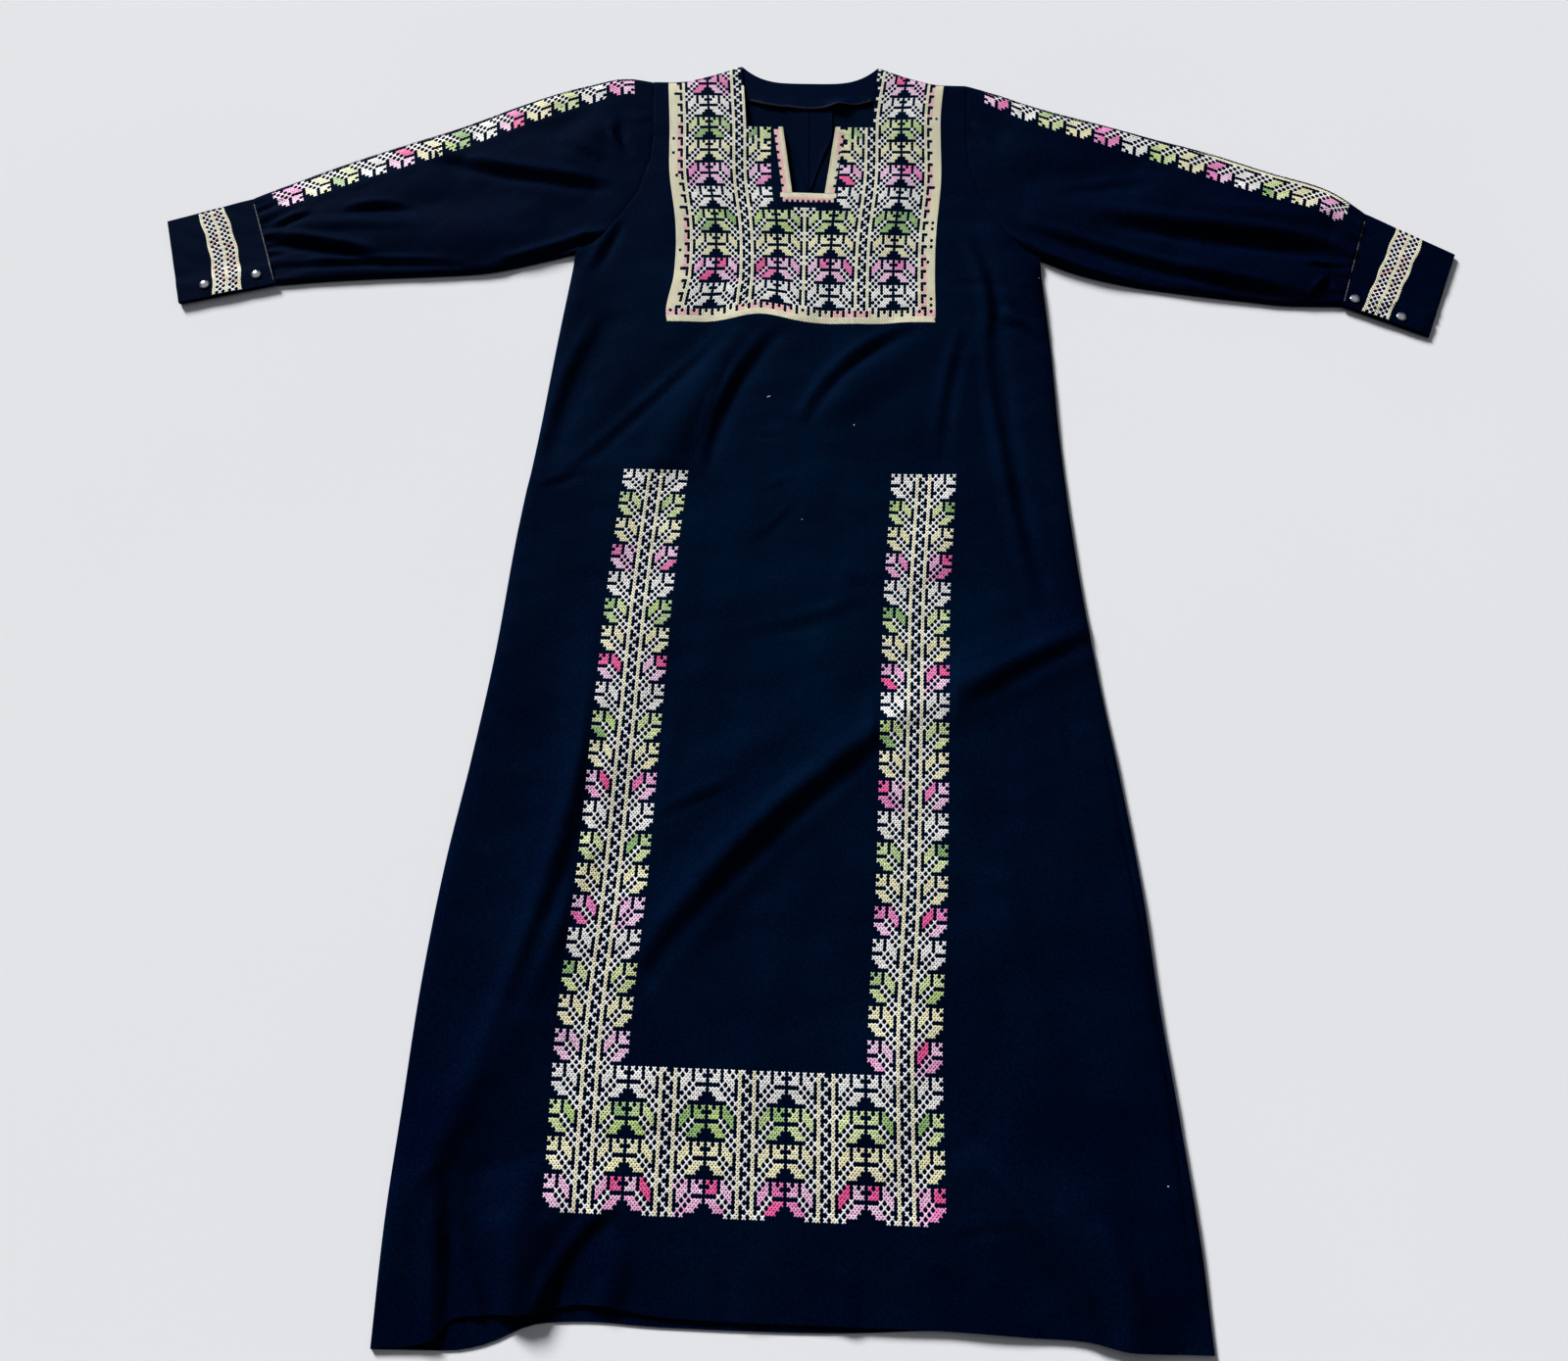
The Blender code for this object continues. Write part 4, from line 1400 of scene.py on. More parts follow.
@dataclass
class FrontPanel:
    """The front: one panel from shoulders to hem, cut out for the neck and its slit."""

    finishes: Finishes
    cell: float = 5.6

    def lines(self, along: float) -> list[float]:
        """Where the front's lines lie across.

        Args:
            along: The place along.

        Returns:
            Places across, from its right edge to its left.
        """
        strip_half = STRIP_COLUMNS * STITCH_ACROSS / 2
        yoke_half = YOKE_COLUMNS * STITCH_ACROSS / 2
        on_yoke = ease((along - STRIP_TOP_ALONG) / (YOKE_END_ALONG - STRIP_TOP_ALONG))
        inner = STRIP_OFFSET - strip_half
        outer = STRIP_OFFSET + strip_half + (yoke_half - STRIP_OFFSET - strip_half) * on_yoke
        up = np.clip((along - FRONT_NECK_ALONG) / (NECK_POINT - FRONT_NECK_ALONG), 0.0, 1.0)
        middle = neck_centre(along)
        centre, spread = front_centre(along), neck_spread(along)
        shoulder_point = ARMHOLE_SECTIONS[-1].along
        edge_along = min(along, FRONT_NECK_ALONG) + (shoulder_point - FRONT_NECK_ALONG) * up
        found = [middle]
        for sign in (-1, 1):
            edge = float(body_edge(sign, edge_along))
            near = [middle + sign * slit_half(along), middle + sign * neck_half(along)]
            reaches = (inner, (inner + outer) / 2, outer)
            near += [centre + sign * (reach + spread) for reach in reaches]
            room = edge - near[-1]
            near += [near[-1] + room * share for share in (0.3, 0.7, 0.93, 1.0)]
            found = near[::-1] + found if sign < 0 else found + near
        return [float(x) for x in found]

    def grid(self) -> tuple[Array, Array]:
        """The panel's points in plan, and which cells are cloth."""
        step = self.cell
        rows = joined(
            evenly(HEM_SECTIONS[0].front, PANEL_END_ALONG, step),
            evenly(PANEL_END_ALONG, YOKE_END_ALONG, step),
            evenly(YOKE_END_ALONG, ARMHOLE_SECTIONS[0].along, step),
            *(
                evenly(low.along, high.along, step)
                for low, high in zip(ARMHOLE_SECTIONS[:-2], ARMHOLE_SECTIONS[1:-1])
            ),
            evenly(FRONT_NECK_ALONG, NECK_POINT - 8.0, step),
            [NECK_POINT - 8.0, NECK_POINT - 4.5, NECK_POINT - 2.0, NECK_POINT - 0.6, NECK_POINT],
        )
        coarse = np.array([self.lines(along) for along in rows])
        counts = [max(2, int(np.ceil(gap / step))) for gap in np.diff(coarse, axis=1).max(axis=0)]
        counts[0] = counts[-1] = 6
        x = split_across(coarse, counts)
        along = np.array(rows)[:, None]
        y = along - tilted(x, along)
        low = HEM_SECTIONS[0].front
        level = PANEL_END_ALONG - ROW_TILT * (x - front_centre(along))
        to_hem = (PANEL_END_ALONG - along) / (PANEL_END_ALONG - low)
        y = np.where(along < PANEL_END_ALONG, level + (hem_along("front", x) - level) * to_hem, y)
        up = (along - FRONT_NECK_ALONG) / (NECK_POINT - FRONT_NECK_ALONG)
        top = FRONT_NECK_ALONG + (shoulder_along(x) - FRONT_NECK_ALONG) * up
        y = np.where(along > FRONT_NECK_ALONG, top, y)
        ends = np.concatenate(([0], np.cumsum(counts)))
        middle = len(coarse[0]) // 2
        keep = np.ones((len(rows) - 1, ends[-1]), bool)
        slit_row, neck_row = rows.index(SLIT_END_ALONG), rows.index(FRONT_NECK_ALONG)
        keep[slit_row:neck_row, ends[middle - 1] : ends[middle + 1]] = False
        keep[neck_row:, ends[middle - 2] : ends[middle + 2]] = False
        return np.stack((x, y), -1), keep

    def build(self) -> Piece:
        """The panel."""
        plan, keep = self.grid()
        x, y = plan[..., 0], plan[..., 1]
        under = np.dstack((plan, front_underside(x, y) - 0.5 * armhole_ditch(x, y)))
        over = np.dstack((plan, front_top(x, y)))
        return shell("front_panel_cloth", under, over, self.finishes.crepe, keep)


@dataclass
class BackPanel:
    """The back, flat on the surface, with its round neck and its hem below the front's."""

    finishes: Finishes
    cell: float = 11.0

    def top(self, x: Array, y: Array) -> Array:
        """Height of its upper side, which lifts off the surface in a few soft creases.

        Args:
            x: Places across.
            y: Places along.

        Returns:
            The heights there.
        """
        room = np.clip((front_underside(x, y) - LAYER - 0.3) * 0.6, 0.0, 3.0)
        below = ease((560.0 - y) / 60.0) * ease((y - hem_along("back", x) - 10.0) / 50.0)
        lifted = np.clip(crease_height(BACK_CREASES, x, y), 0.0, None) * below
        return WALL + np.minimum(lifted, room)

    def build(self) -> Piece:
        """The panel."""
        low, armpit = HEM_SECTIONS[0].back, ARMHOLE_SECTIONS[0].along
        rows = joined(
            evenly(low, armpit, self.cell),
            *(
                evenly(a.along, b.along, self.cell)
                for a, b in zip(ARMHOLE_SECTIONS[:-1], ARMHOLE_SECTIONS[1:])
            ),
        )
        coarse = []
        for along in rows:
            right, left = float(body_edge(-1, along)), float(body_edge(1, along))
            across = [right, (right - NECK_HALF) / 2, -NECK_HALF, 0.0, NECK_HALF]
            coarse.append([*across, (left + NECK_HALF) / 2, left])
        coarse = np.array(coarse)
        counts = [int(np.ceil(gap / self.cell)) for gap in np.diff(coarse, axis=1).max(axis=0)]
        x = split_across(coarse, counts)
        along = np.array(rows)[:, None]
        to_hem = ease((low + 120.0 - along) / 120.0)
        to_top = ease((along - rows[-1] + 158.0) / 158.0)
        y = along + (hem_along("back", x) - low) * to_hem + (back_top_along(x) - rows[-1]) * to_top
        top = self.top(x, y)
        under, over = np.dstack((x, y, top - WALL)), np.dstack((x, y, top))
        return shell("back_panel_cloth", under, over, self.finishes.crepe)


def bead(path: Array, radius: float, height: float) -> tuple[Array, Array]:
    """A half-round bead laid along points on a surface.

    Args:
        path: The points, in millimetres.
        radius: Half its width.
        height: How high it stands.

    Returns:
        Its points and faces.
    """
    run = np.gradient(path, axis=0)
    aside = unit(np.stack((-run[:, 1], run[:, 0], np.zeros(len(run))), -1))
    rings = [
        path + aside * radius * np.cos(turn) + np.array((0, 0, height * np.sin(turn)))
        for turn in np.linspace(0.0, np.pi, 5)
    ]
    rings.append(path - np.array((0, 0, 0.15)))
    grid = np.stack(rings, axis=1)
    return grid.reshape(-1, 3), grid_faces(len(path), len(rings), True, None)


@dataclass
class NeckInside:
    """What the neck opening shows of the inside: the dart's pressed edges and the neck facing."""

    finishes: Finishes

    def facing_edge(self, across: Array) -> Array:
        """Where the facing's lower edge lies along."""
        return FACING_EDGE_ALONG + FACING_EDGE_RISE * (across / NECK_HALF) ** 2

    def build_allowance(self, side: Side) -> Piece:
        """One pressed-open edge of the dart, curling up a little along its free side.

        Args:
            side: Which of the two.

        Returns:
            The piece.
        """
        along = np.array(evenly(ALLOWANCES[0].along, ALLOWANCES[-1].along, 4.0))[:, None]
        half = from_table(ALLOWANCES, "along", "half", along)
        share = np.linspace(0.0, 1.0, 9)[None, :]
        x = 0.4 + (half - 0.4) * share
        curl = 0.7 * ease((share - 0.7) / 0.3) * (0.6 + 0.4 * np.sin(along / 9.0))
        z = LAYER + curl + 0.0 * x
        under = np.dstack((side.value * x, along + 0.0 * x, z))
        over = under + np.array((0.0, 0.0, FACING_WALL))
        name = f"back_allowance_{side.word}_cloth"
        return shell(name, under, over, self.finishes.inside, mirrored=side is Side.RIGHT)

    def facing_points(self, share: Array, across: Array) -> Array:
        """Points under the facing.

        Args:
            share: From 0 on its lower edge to 1 at the neck edge.
            across: From -1 at its right end to 1 at its left.

        Returns:
            The points.
        """
        along = self.facing_edge(across * NECK_HALF)
        along = along + (back_top_along(across * NECK_HALF) - along) * share
        reach = neck_half(along) - SEAM_GAP * 2
        x = across * reach
        free = 1.0 - ease(share / 0.45)
        gape = 5.5 * np.exp(-(((x - 34.0) / 13.0) ** 2)) + 1.2 * np.exp(-(((x + 30.0) / 24.0) ** 2))
        wave = 0.35 * np.sin(x / 5.0)
        z = LAYER + FACING_WALL + SEAM_GAP + free * (gape + wave + 0.35)
        along = along + free * 1.6 * np.exp(-(((x - 34.0) / 13.0) ** 2))
        return np.stack(np.broadcast_arrays(x, along, z), -1)

    def build_facing(self) -> Piece:
        """The facing round the back of the neck."""
        share, across = np.meshgrid(np.linspace(0, 1, 16), np.linspace(-1, 1, 61), indexing="ij")
        under = self.facing_points(share, across)
        over = under + np.array((0.0, 0.0, FACING_WALL))
        return shell("back_neck_facing_cloth", under, over, self.finishes.inside)

    def build_overcast(self) -> Piece:
        """The pinkish-grey thread that overcasts the facing's lower edge."""
        count = 60
        draw = np.random.default_rng(SEED + 5)
        across = np.linspace(-0.93, 0.93, count)
        shares = draw.uniform(0.03, 0.10, count)
        top = self.facing_points(shares, across) + np.array((0, 0, FACING_WALL + 0.05))
        low = self.facing_points(np.zeros(count), across + 0.012)
        low = low + np.array((0, -0.6, FACING_WALL * 0.6))
        aside = np.array((0.18, 0.0, 0.0))
        corners = np.stack((top - aside, low - aside, low + aside, top + aside), axis=1)
        stitches = Stitches()
        colours = np.array((0.11, 0.07, 0.10)) * draw.uniform(0.5, 1.4, (count, 1))
        stitches.add(corners, colours, straight=True)
        return stitches.made("facing_overcast", self.finishes.thread)

    def build_seam(self) -> Piece:
        """The centre back seam below the dart."""
        along = np.array(evenly(525.0, 120.0, 5.0))
        path = np.stack((np.full_like(along, -0.8), along, np.full_like(along, WALL)), -1)
        points, faces = bead(path, 0.7, 0.35)
        return make_object("centre_back_seam", points, faces, self.finishes.inside)


# The embroidery of the front

# Specks of lint: where each lies, its direction in degrees and its length
LINT = (
    (-42, 238, 25, 3.4),
    (53, 203, 80, 1.6),
    (-3, 88, -40, 0.9),
    (328, -568, 10, 1.4),
    (263, 400, 60, 1.4),
)
# How far the yoke's edges have been pushed to the wearer's left, at places along
SWAY_PLACES = (330.0, 341.0, 400.0, 475.0, 560.0, 640.0, 700.0)
SWAY_RIGHT = (0.0, -4.0, 1.0, 3.5, 0.5, 0.0, 0.0)
SWAY_LEFT = (0.0, 1.0, 0.5, 0.0, -1.0, -3.0, -5.4)

# The columns, in from each edge of the yoke, of the lines that leaves grow from, and which way
YOKE_LINES = ((5, 1), (23, -1), (27, 1), (45, -1))
YOKE_STEM = 23
# The rows and columns at the foot of the slit, where one leaf is cut short, and what is left of it
SHORT_LEAF_ROWS = range(24, 32)
SHORT_LEAF_COLUMNS = range(28, 36)
SHORT_LEAF_TOP = 27
SHORT_LEAF_PICKS = (0, 1, 2, 4, 6)

# The edging of the slit
SLIT_ROW = 3.95
SLIT_CELL = 2.85
SLIT_CORD_ROWS = 3
SLIT_CORD = 1.05
FOOT_COLUMNS = 21
FOOT_CELL = 3.1
FOOT_ROW = 3.3
FOOT_GAP = 1.2


@dataclass
class FrontEmbroidery:
    """The yoke, the two strips down the skirt and the panel that joins them."""

    finishes: Finishes

    def place(self, offset: Array, along: Array) -> Array:
        """Points on the front.

        Args:
            offset: Distances from the embroidery's middle line.
            along: Levels along.

        Returns:
            The points, just off the cloth.
        """
        centre = front_centre(along)
        x = centre + offset + neck_spread(along) * np.sign(offset) * ease(np.abs(offset) / 45.0)
        right, left = (smooth_curve(SWAY_PLACES, sway, along) for sway in (SWAY_RIGHT, SWAY_LEFT))
        x = x + right * ease(-offset / 150.0) + left * ease(offset / 150.0)
        wave = 12.0 * np.exp(-(((x + 52.0) / 36.0) ** 2)) - 3.2 * (1.0 - ease((x - 60.0) / 80.0))
        pulled = ease((435.0 - along) / 95.0) * (along > YOKE_END_ALONG - 6.0)
        y = along - tilted(x, along) + wave * pulled
        return on_front(x, y, 0.04)

    def field(self, columns: int, middle: float, top: float, pitch: float) -> Surface:
        """The surface that a chart lies on.

        Args:
            columns: How many columns the chart has.
            middle: How far its middle lies from the embroidery's middle line.
            top: The level of its first row.
            pitch: The height of a row.

        Returns:
            The surface.
        """

        def surface(cols: Array, rows: Array) -> Array:
            """Points on the front for the chart's columns and rows."""
            offset = middle + (cols - columns / 2) * STITCH_ACROSS
            return self.place(offset, top - rows * pitch)

        return surface

    def yoke_chart(self) -> Chart:
        """The yoke's chart, which starts one leaf above its top level."""
        leaves = YOKE_LEAVES + 1
        chart = Chart(YOKE_COLUMNS, leaves * LEAF_ROWS + len(COMB), 11)
        dyes = row_dyes(leaves, -1)
        for step in (1, -1):
            first = 0 if step > 0 else YOKE_COLUMNS - 1
            self.border(chart, first, step)
            for line_col, grow in YOKE_LINES:
                chart.leaves(first + step * line_col, step * grow, dyes)
            chart.stem(first + step * YOKE_STEM, step, step)
            for out in SHORT_LEAF_COLUMNS:
                for row in SHORT_LEAF_ROWS:
                    chart.cells.pop((first + step * out, row), None)
            line_col = first + step * (SHORT_LEAF_COLUMNS[0] - 1)
            chart.leaf(line_col, SHORT_LEAF_TOP, dyes[3], step, SHORT_LEAF_PICKS)
        chart.line(YOKE_MIDDLE)
        self.comb(chart, leaves * LEAF_ROWS)
        return chart

    def border(self, chart: Chart, first: int, step: int) -> None:
        """The yoke's outer border, with patches of pink thread along its teeth.

        Args:
            chart: The yoke's chart.
            first: The column on the yoke's edge.
            step: 1 if the border grows to higher columns, -1 to lower ones.
        """
        draw = np.random.default_rng(SEED + 21 + step)
        for row in range(chart.rows):
            warm = 0.5 + 0.5 * np.sin(row / 5.2 + step * 1.1) + draw.uniform(-0.15, 0.15)
            plain = 0.6 + 0.5 * np.sin(row / 6.0)
            for out, mark in enumerate(BORDER[row % len(BORDER)]):
                missed = mark == "." or (out in (1, 2) and draw.random() < 0.05)
                if not missed:
                    chart.set(first + step * out, row, *edging(mark, warm, 0.42, plain))

    def comb(self, chart: Chart, top: int) -> None:
        """The comb of teeth and dense rows that closes the yoke below.

        Args:
            chart: The yoke's chart.
            top: Its first row.
        """
        draw = np.random.default_rng(SEED + 31)
        for down, marks in enumerate(COMB):
            for col in range(chart.columns):
                chart.cells.pop((col, top + down), None)
                mark = marks[col % len(marks)]
                if mark == ".":
                    continue
                warm = 0.5 + 0.5 * np.sin(col / 4.6 + 0.8) + draw.uniform(-0.2, 0.2)
                chart.set(col, top + down, *edging(mark, warm, 0.45, 0.5))

    def build_yoke(self) -> Piece:
        """The yoke, with the stepped border and the corded edge of the slit."""
        cols, rows, colours = self.yoke_chart().arrays()
        top = YOKE_TOP_ALONG + LEAF_ROWS * YOKE_PITCH
        surface = self.field(YOKE_COLUMNS, 0.0, top, YOKE_PITCH)
        middle = surface(cols + 0.5, rows + 0.5)
        x, y = middle[:, 0], middle[:, 1]
        from_neck = np.abs(x - neck_centre(y))
        kept = y < shoulder_along(x) - YOKE_SHOULDER_MARGIN
        kept &= ~((y > FRONT_NECK_ALONG - 2.0) & (from_neck < neck_half(y) + YOKE_NECK_MARGIN))
        kept &= ~((y > SLIT_END_ALONG) & (from_neck < slit_half(y) + YOKE_SLIT_MARGIN))
        kept &= ~((y > SLIT_FOOT_ALONG) & (np.abs(cols - YOKE_MIDDLE) < SLIT_FOOT_COLUMNS))
        stitches = Stitches()
        stitches.add(cells_of(surface, cols[kept], rows[kept]), colours[kept])
        self.slit_border(stitches)
        return stitches.made("yoke_stitches", self.finishes.thread)

    def slit_border(self, stitches: Stitches) -> None:
        """Dense lines with outward teeth round the slit, and the smooth corded edge inside them.

        Args:
            stitches: Where its cells are gathered.
        """
        draw = np.random.default_rng(SEED + 41)
        length = FRONT_NECK_ALONG - SLIT_END_ALONG
        count = int(length / SLIT_ROW)
        middle = float(neck_centre(SLIT_END_ALONG + 40.0))

        def edge(sign: int) -> Surface:
            """The surface beside one edge of the slit, from the neck down."""

            def surface(cols: Array, rows: Array) -> Array:
                """Points for columns out from the edge and rows down from the neck."""
                along = FRONT_NECK_ALONG - 0.6 - rows * length / count
                x = middle + sign * (slit_half(along) + 0.4 + cols * SLIT_CELL)
                return on_front(x, along)

            return surface

        def below(cols: Array, rows: Array) -> Array:
            """Points under the slit's foot."""
            x = middle + (cols - FOOT_COLUMNS / 2) * FOOT_CELL
            along = SLIT_END_ALONG - FOOT_GAP - rows * FOOT_ROW
            return on_front(x, along)

        for sign in (-1, 1):
            warm_side = 1.25 if sign < 0 else 0.35
            reaches = [3 + (row % 3 != 0) - (row < 1) for row in range(count)]
            marks = [(out, row) for row, reach in enumerate(reaches) for out in range(1, reach)]
            places = np.array(marks, float)
            warm = np.clip(np.sin(places[:, 1] / 3.4) * 0.5 + warm_side, 0.0, 1.9)
            warm = warm * (places[:, 0] > 1.5) + draw.uniform(0.0, 0.25, len(places))
            corners = cells_of(edge(sign), *places.T)
            stitches.add(corners, blushing(warm, 0.9), mirrored=sign < 0)
            fine = np.arange(count * SLIT_CORD_ROWS, dtype=float) / SLIT_CORD_ROWS
            cord = [
                edge(sign)(np.full_like(fine, out) - 0.02, fine + down / SLIT_CORD_ROWS)
                for out, down in ((0, 1), (SLIT_CORD, 1), (SLIT_CORD, 0), (0, 0))
            ]
            pale = Dye.CREAM.shade(draw.uniform(0.3, 1.2, len(fine)))
            stitches.add(np.stack(cord, axis=1), pale, straight=True, mirrored=sign < 0)
        reaches = [3 + (col % 2) - (col in (0, FOOT_COLUMNS - 1)) for col in range(FOOT_COLUMNS)]
        marks = [(col, down) for col, reach in enumerate(reaches) for down in range(reach)]
        places = np.array(marks, float)
        warm = np.clip(1.1 - np.abs(places[:, 0] - 7.0) / 16.0, 0.0, 1.0) * (places[:, 1] > 1.5)
        warm = warm * 1.5 + draw.uniform(0.0, 0.25, len(places))
        stitches.add(cells_of(below, *places.T), blushing(warm))

    def build_strip(self, side: Side) -> Piece:
        """One strip down the skirt: leaves on both sides of a stem.

        Args:
            side: Which of the two.

        Returns:
            The piece.
        """
        rows = STRIP_LEAVES * LEAF_ROWS
        pitch = (STRIP_TOP_ALONG - STRIP_END_ALONG) / rows
        chart = Chart(STRIP_COLUMNS, rows, 51 + side.value)
        chart.leafy_stem(STRIP_STEM, row_dyes(STRIP_LEAVES, 1))
        middle = side.value * STRIP_OFFSET
        surface = self.field(STRIP_COLUMNS, middle, STRIP_TOP_ALONG - 1.0, pitch)
        name = f"skirt_strip_{side.word}_stitches"
        return embroidered(name, chart, surface, self.finishes.thread)

    def build_panel(self) -> Piece:
        """The panel across the skirt: five stems with leaves between and outside them."""
        rows = PANEL_LEAVES * LEAF_ROWS
        pitch = (PANEL_TOP_ALONG - PANEL_END_ALONG - 1.0) / rows
        columns = (PANEL_STEMS - 1) * STEM_REPEAT + STRIP_COLUMNS
        chart = Chart(columns, rows, 61)
        for stem in range(PANEL_STEMS):
            chart.leafy_stem(STRIP_STEM + stem * STEM_REPEAT, row_dyes(PANEL_LEAVES, 1))
        surface = self.field(columns, 0.0, PANEL_TOP_ALONG, pitch)
        return embroidered("skirt_panel_stitches", chart, surface, self.finishes.thread)

    def build_lint(self) -> Piece:
        """The few pale specks of lint that lie on the cloth."""
        stitches = Stitches()
        for x, y, turn, length in LINT:
            run = np.array((np.cos(np.radians(turn)), np.sin(np.radians(turn)))) * length
            over = np.array((-run[1], run[0])) / length * 0.9
            flat = np.array(((0.0, 0.0), run, run + over, over)) + (x, y)
            stitches.add(on_front(*flat.T)[None], Dye.WHITE.shade(np.zeros(1)), straight=True)
        return stitches.made("lint", self.finishes.thread)


# Sleeves


class CuffTable(NamedTuple):
    """A cuff's corners as (across, along), how far its lapped end is turned back, and how far its
    band slants and bows towards the seam, as shares of the length."""

    side: Side
    seam_top: Spot
    seam_under: Spot
    end_top: Spot
    end_under: Spot
    skew: float
    slant: float
    bow: float


CUFFS = (
    CuffTable(Side.RIGHT, (-646, 500), (-602, 380), (-741.5, 466), (-708, 352), 0.0, 0.0, 0.045),
    CuffTable(Side.LEFT, (646, 500), (602, 371), (741.5, 444), (695, 331), 11.0, 0.13, -0.01),
)


class Path:
    """A path in plan, read at shares of its length."""

    def __init__(self, points: Sequence[Spot], soft: bool) -> None:
        """Keeps the points and the lengths up to them."""
        self.points = np.asarray(points, float)
        steps = np.hypot(*np.diff(self.points, axis=0).T)
        self.lengths = np.concatenate(([0.0], np.cumsum(steps)))
        self.soft = soft

    def at(self, share: Array) -> Array:
        """Points at shares of its length."""
        where = np.asarray(share) * self.lengths[-1]
        read = smooth_curve if self.soft else straight_curve
        return np.stack([read(self.lengths, self.points[:, k], where) for k in (0, 1)], -1)


STRIP_RUNS = (0.05, 0.12, 0.2, 0.35, 0.5, 0.65, 1.0)


class StripReach(Enum):
    """How far down the upper side each sleeve's strip reaches, at STRIP_RUNS."""

    RIGHT = (25.0, 28.5, 30.5, 33.0, 34.0, 34.5, 34.0)
    LEFT = (21.0, 26.0, 29.0, 31.0, 34.0, 39.0, 39.5)


@dataclass
class Sleeve:
    """One sleeve: a flattened tube from the armhole to the cuff, with its embroidered top fold."""

    cuff: CuffTable
    finishes: Finishes

    def __post_init__(self) -> None:
        """Lays out its edges in plan."""
        side = self.cuff.side
        sign, word = side.value, side.word
        tops = [(sign * row.reach, getattr(row, word)) for row in SLEEVE_TOPS]
        unders = [(sign * row.reach, getattr(row, word)) for row in SLEEVE_UNDERS]
        gap = SEAM_GAP * sign
        armhole = [(sign * row.half + gap, row.along) for row in reversed(ARMHOLE_SECTIONS)]
        self.top, self.under = Path(tops, True), Path(unders, True)
        self.start = Path(armhole, False)
        self.corners = [np.array(edge[end], float) for edge in (tops, unders) for end in (0, -1)]

    def plan(self, run: Array, across: Array) -> Array:
        """Points in plan.

        Args:
            run: Shares from armhole to cuff.
            across: Shares from top fold to underarm.

        Returns:
            The points.
        """
        run, across = np.broadcast_arrays(run, across)
        top, under, start = self.top.at(run), self.under.at(run), self.start.at(across)
        run, across = run[..., None], across[..., None]
        a, b, c, d = self.corners
        end = b * (1 - across) + d * across
        twice = a * (1 - across) * (1 - run) + b * (1 - across) * run
        twice = twice + c * across * (1 - run) + d * across * run
        return top * (1 - across) + under * across + start * (1 - run) + end * run - twice

    def width(self, run: Array) -> Array:
        """The flat width of the sleeve."""
        return np.linalg.norm(self.plan(run, 0.0 * run) - self.plan(run, 0.0 * run + 1.0), axis=-1)

    def gathers(self, run: Array, across: Array) -> Array:
        """The small pleats that run up from the cuff seam.

        Args:
            run: Shares from armhole to cuff.
            across: Shares from top fold to underarm.

        Returns:
            The heights that they add.
        """
        draw = np.random.default_rng(SEED + 71 + self.cuff.side.value)
        total = np.zeros(np.broadcast(run, across).shape)
        length = self.top.lengths[-1]
        from_cuff = (1.0 - run) * length
        for place in np.linspace(0.10, 0.92, 9):
            place += draw.uniform(-0.03, 0.03)
            reach = draw.uniform(26.0, 70.0)
            slant = draw.uniform(-0.05, 0.05)
            half = draw.uniform(0.022, 0.036)
            aside = (across - place - slant * from_cuff / 60.0) / (half * (1 + from_cuff / 60.0))
            fade = np.clip(1.0 - from_cuff / reach, 0.0, 1.0) ** 1.3
            total -= draw.uniform(2.2, 3.8) * np.exp(-(aside**2)) * fade
        return total

    def surface(self, run: Array, around: Array, out: float = 0.0) -> Array:
        """Points on the sleeve's outside.

        Args:
            run: Shares from armhole to cuff.
            around: Signed distances from the top fold, above 0 on the upper side.
            out: How far off the cloth they are.

        Returns:
            The points.
        """
        run, around = np.broadcast_arrays(np.asarray(run, float), np.asarray(around, float))
        width = self.width(run)
        inward = np.minimum(np.abs(around), width)
        across = inward / width
        plan = self.plan(run, across)
        x, y = plan[..., 0], plan[..., 1]
        upper = around >= 0
        nearest = np.minimum(inward, width - inward)
        edge = rolled(nearest)
        lower = STRIP_CLEARANCE * (1.0 - ease((inward - SLEEVE_STRIP_UNDER) / STRIP_CLEAR_BLEND))
        length = self.top.lengths[-1]
        from_seam = run * length
        lift = SLEEVE_HOLLOW + crease_height(SLEEVE_FOLDS, x, y) + crease_height(SLEEVE_CREASES, x, y)
        lift = lift + undulation(x, y, 90.0, 0.6, 3) + undulation(x, y, 34.0, 0.25, 4)
        lift = lift + self.gathers(run, across)
        hollow = at_least(lift, 1.0) * edge + 0.3
        top = lower + 2 * WALL + hollow
        ditch = np.exp(-((from_seam / DITCH_REACH) ** 2))
        ditch = ditch + np.exp(-(((length - from_seam) / DITCH_REACH) ** 2))
        top = top - SEAM_DITCH * ditch - 0.7 * ease(1.0 - from_seam / 22.0)
        beneath = crease_height(SLEEVE_CREASES, x, -y + 1040.0)
        raised = np.clip(-beneath, 0.0, 1.2) * edge * ease((inward - 40.0) / 20.0)
        bottom = lower + raised
        middle, half = (top + bottom) / 2, (top - bottom) / 2
        nose = rolled(nearest, NOSE)
        sign = np.where(upper, 1.0, -1.0)
        reach = half * nose + out
        to_top = unit(self.plan(run, 0.0 * run) - self.plan(run, 0.0 * run + 1.0))
        beyond = (1.0 - nose) * out * np.where(inward < width / 2, 1.0, -1.0)
        plan = plan + to_top * beyond[..., None]
        z = middle + sign * np.maximum(reach, 0.12)
        return np.dstack((plan, z)) if plan.ndim == 3 else np.column_stack((plan, z))

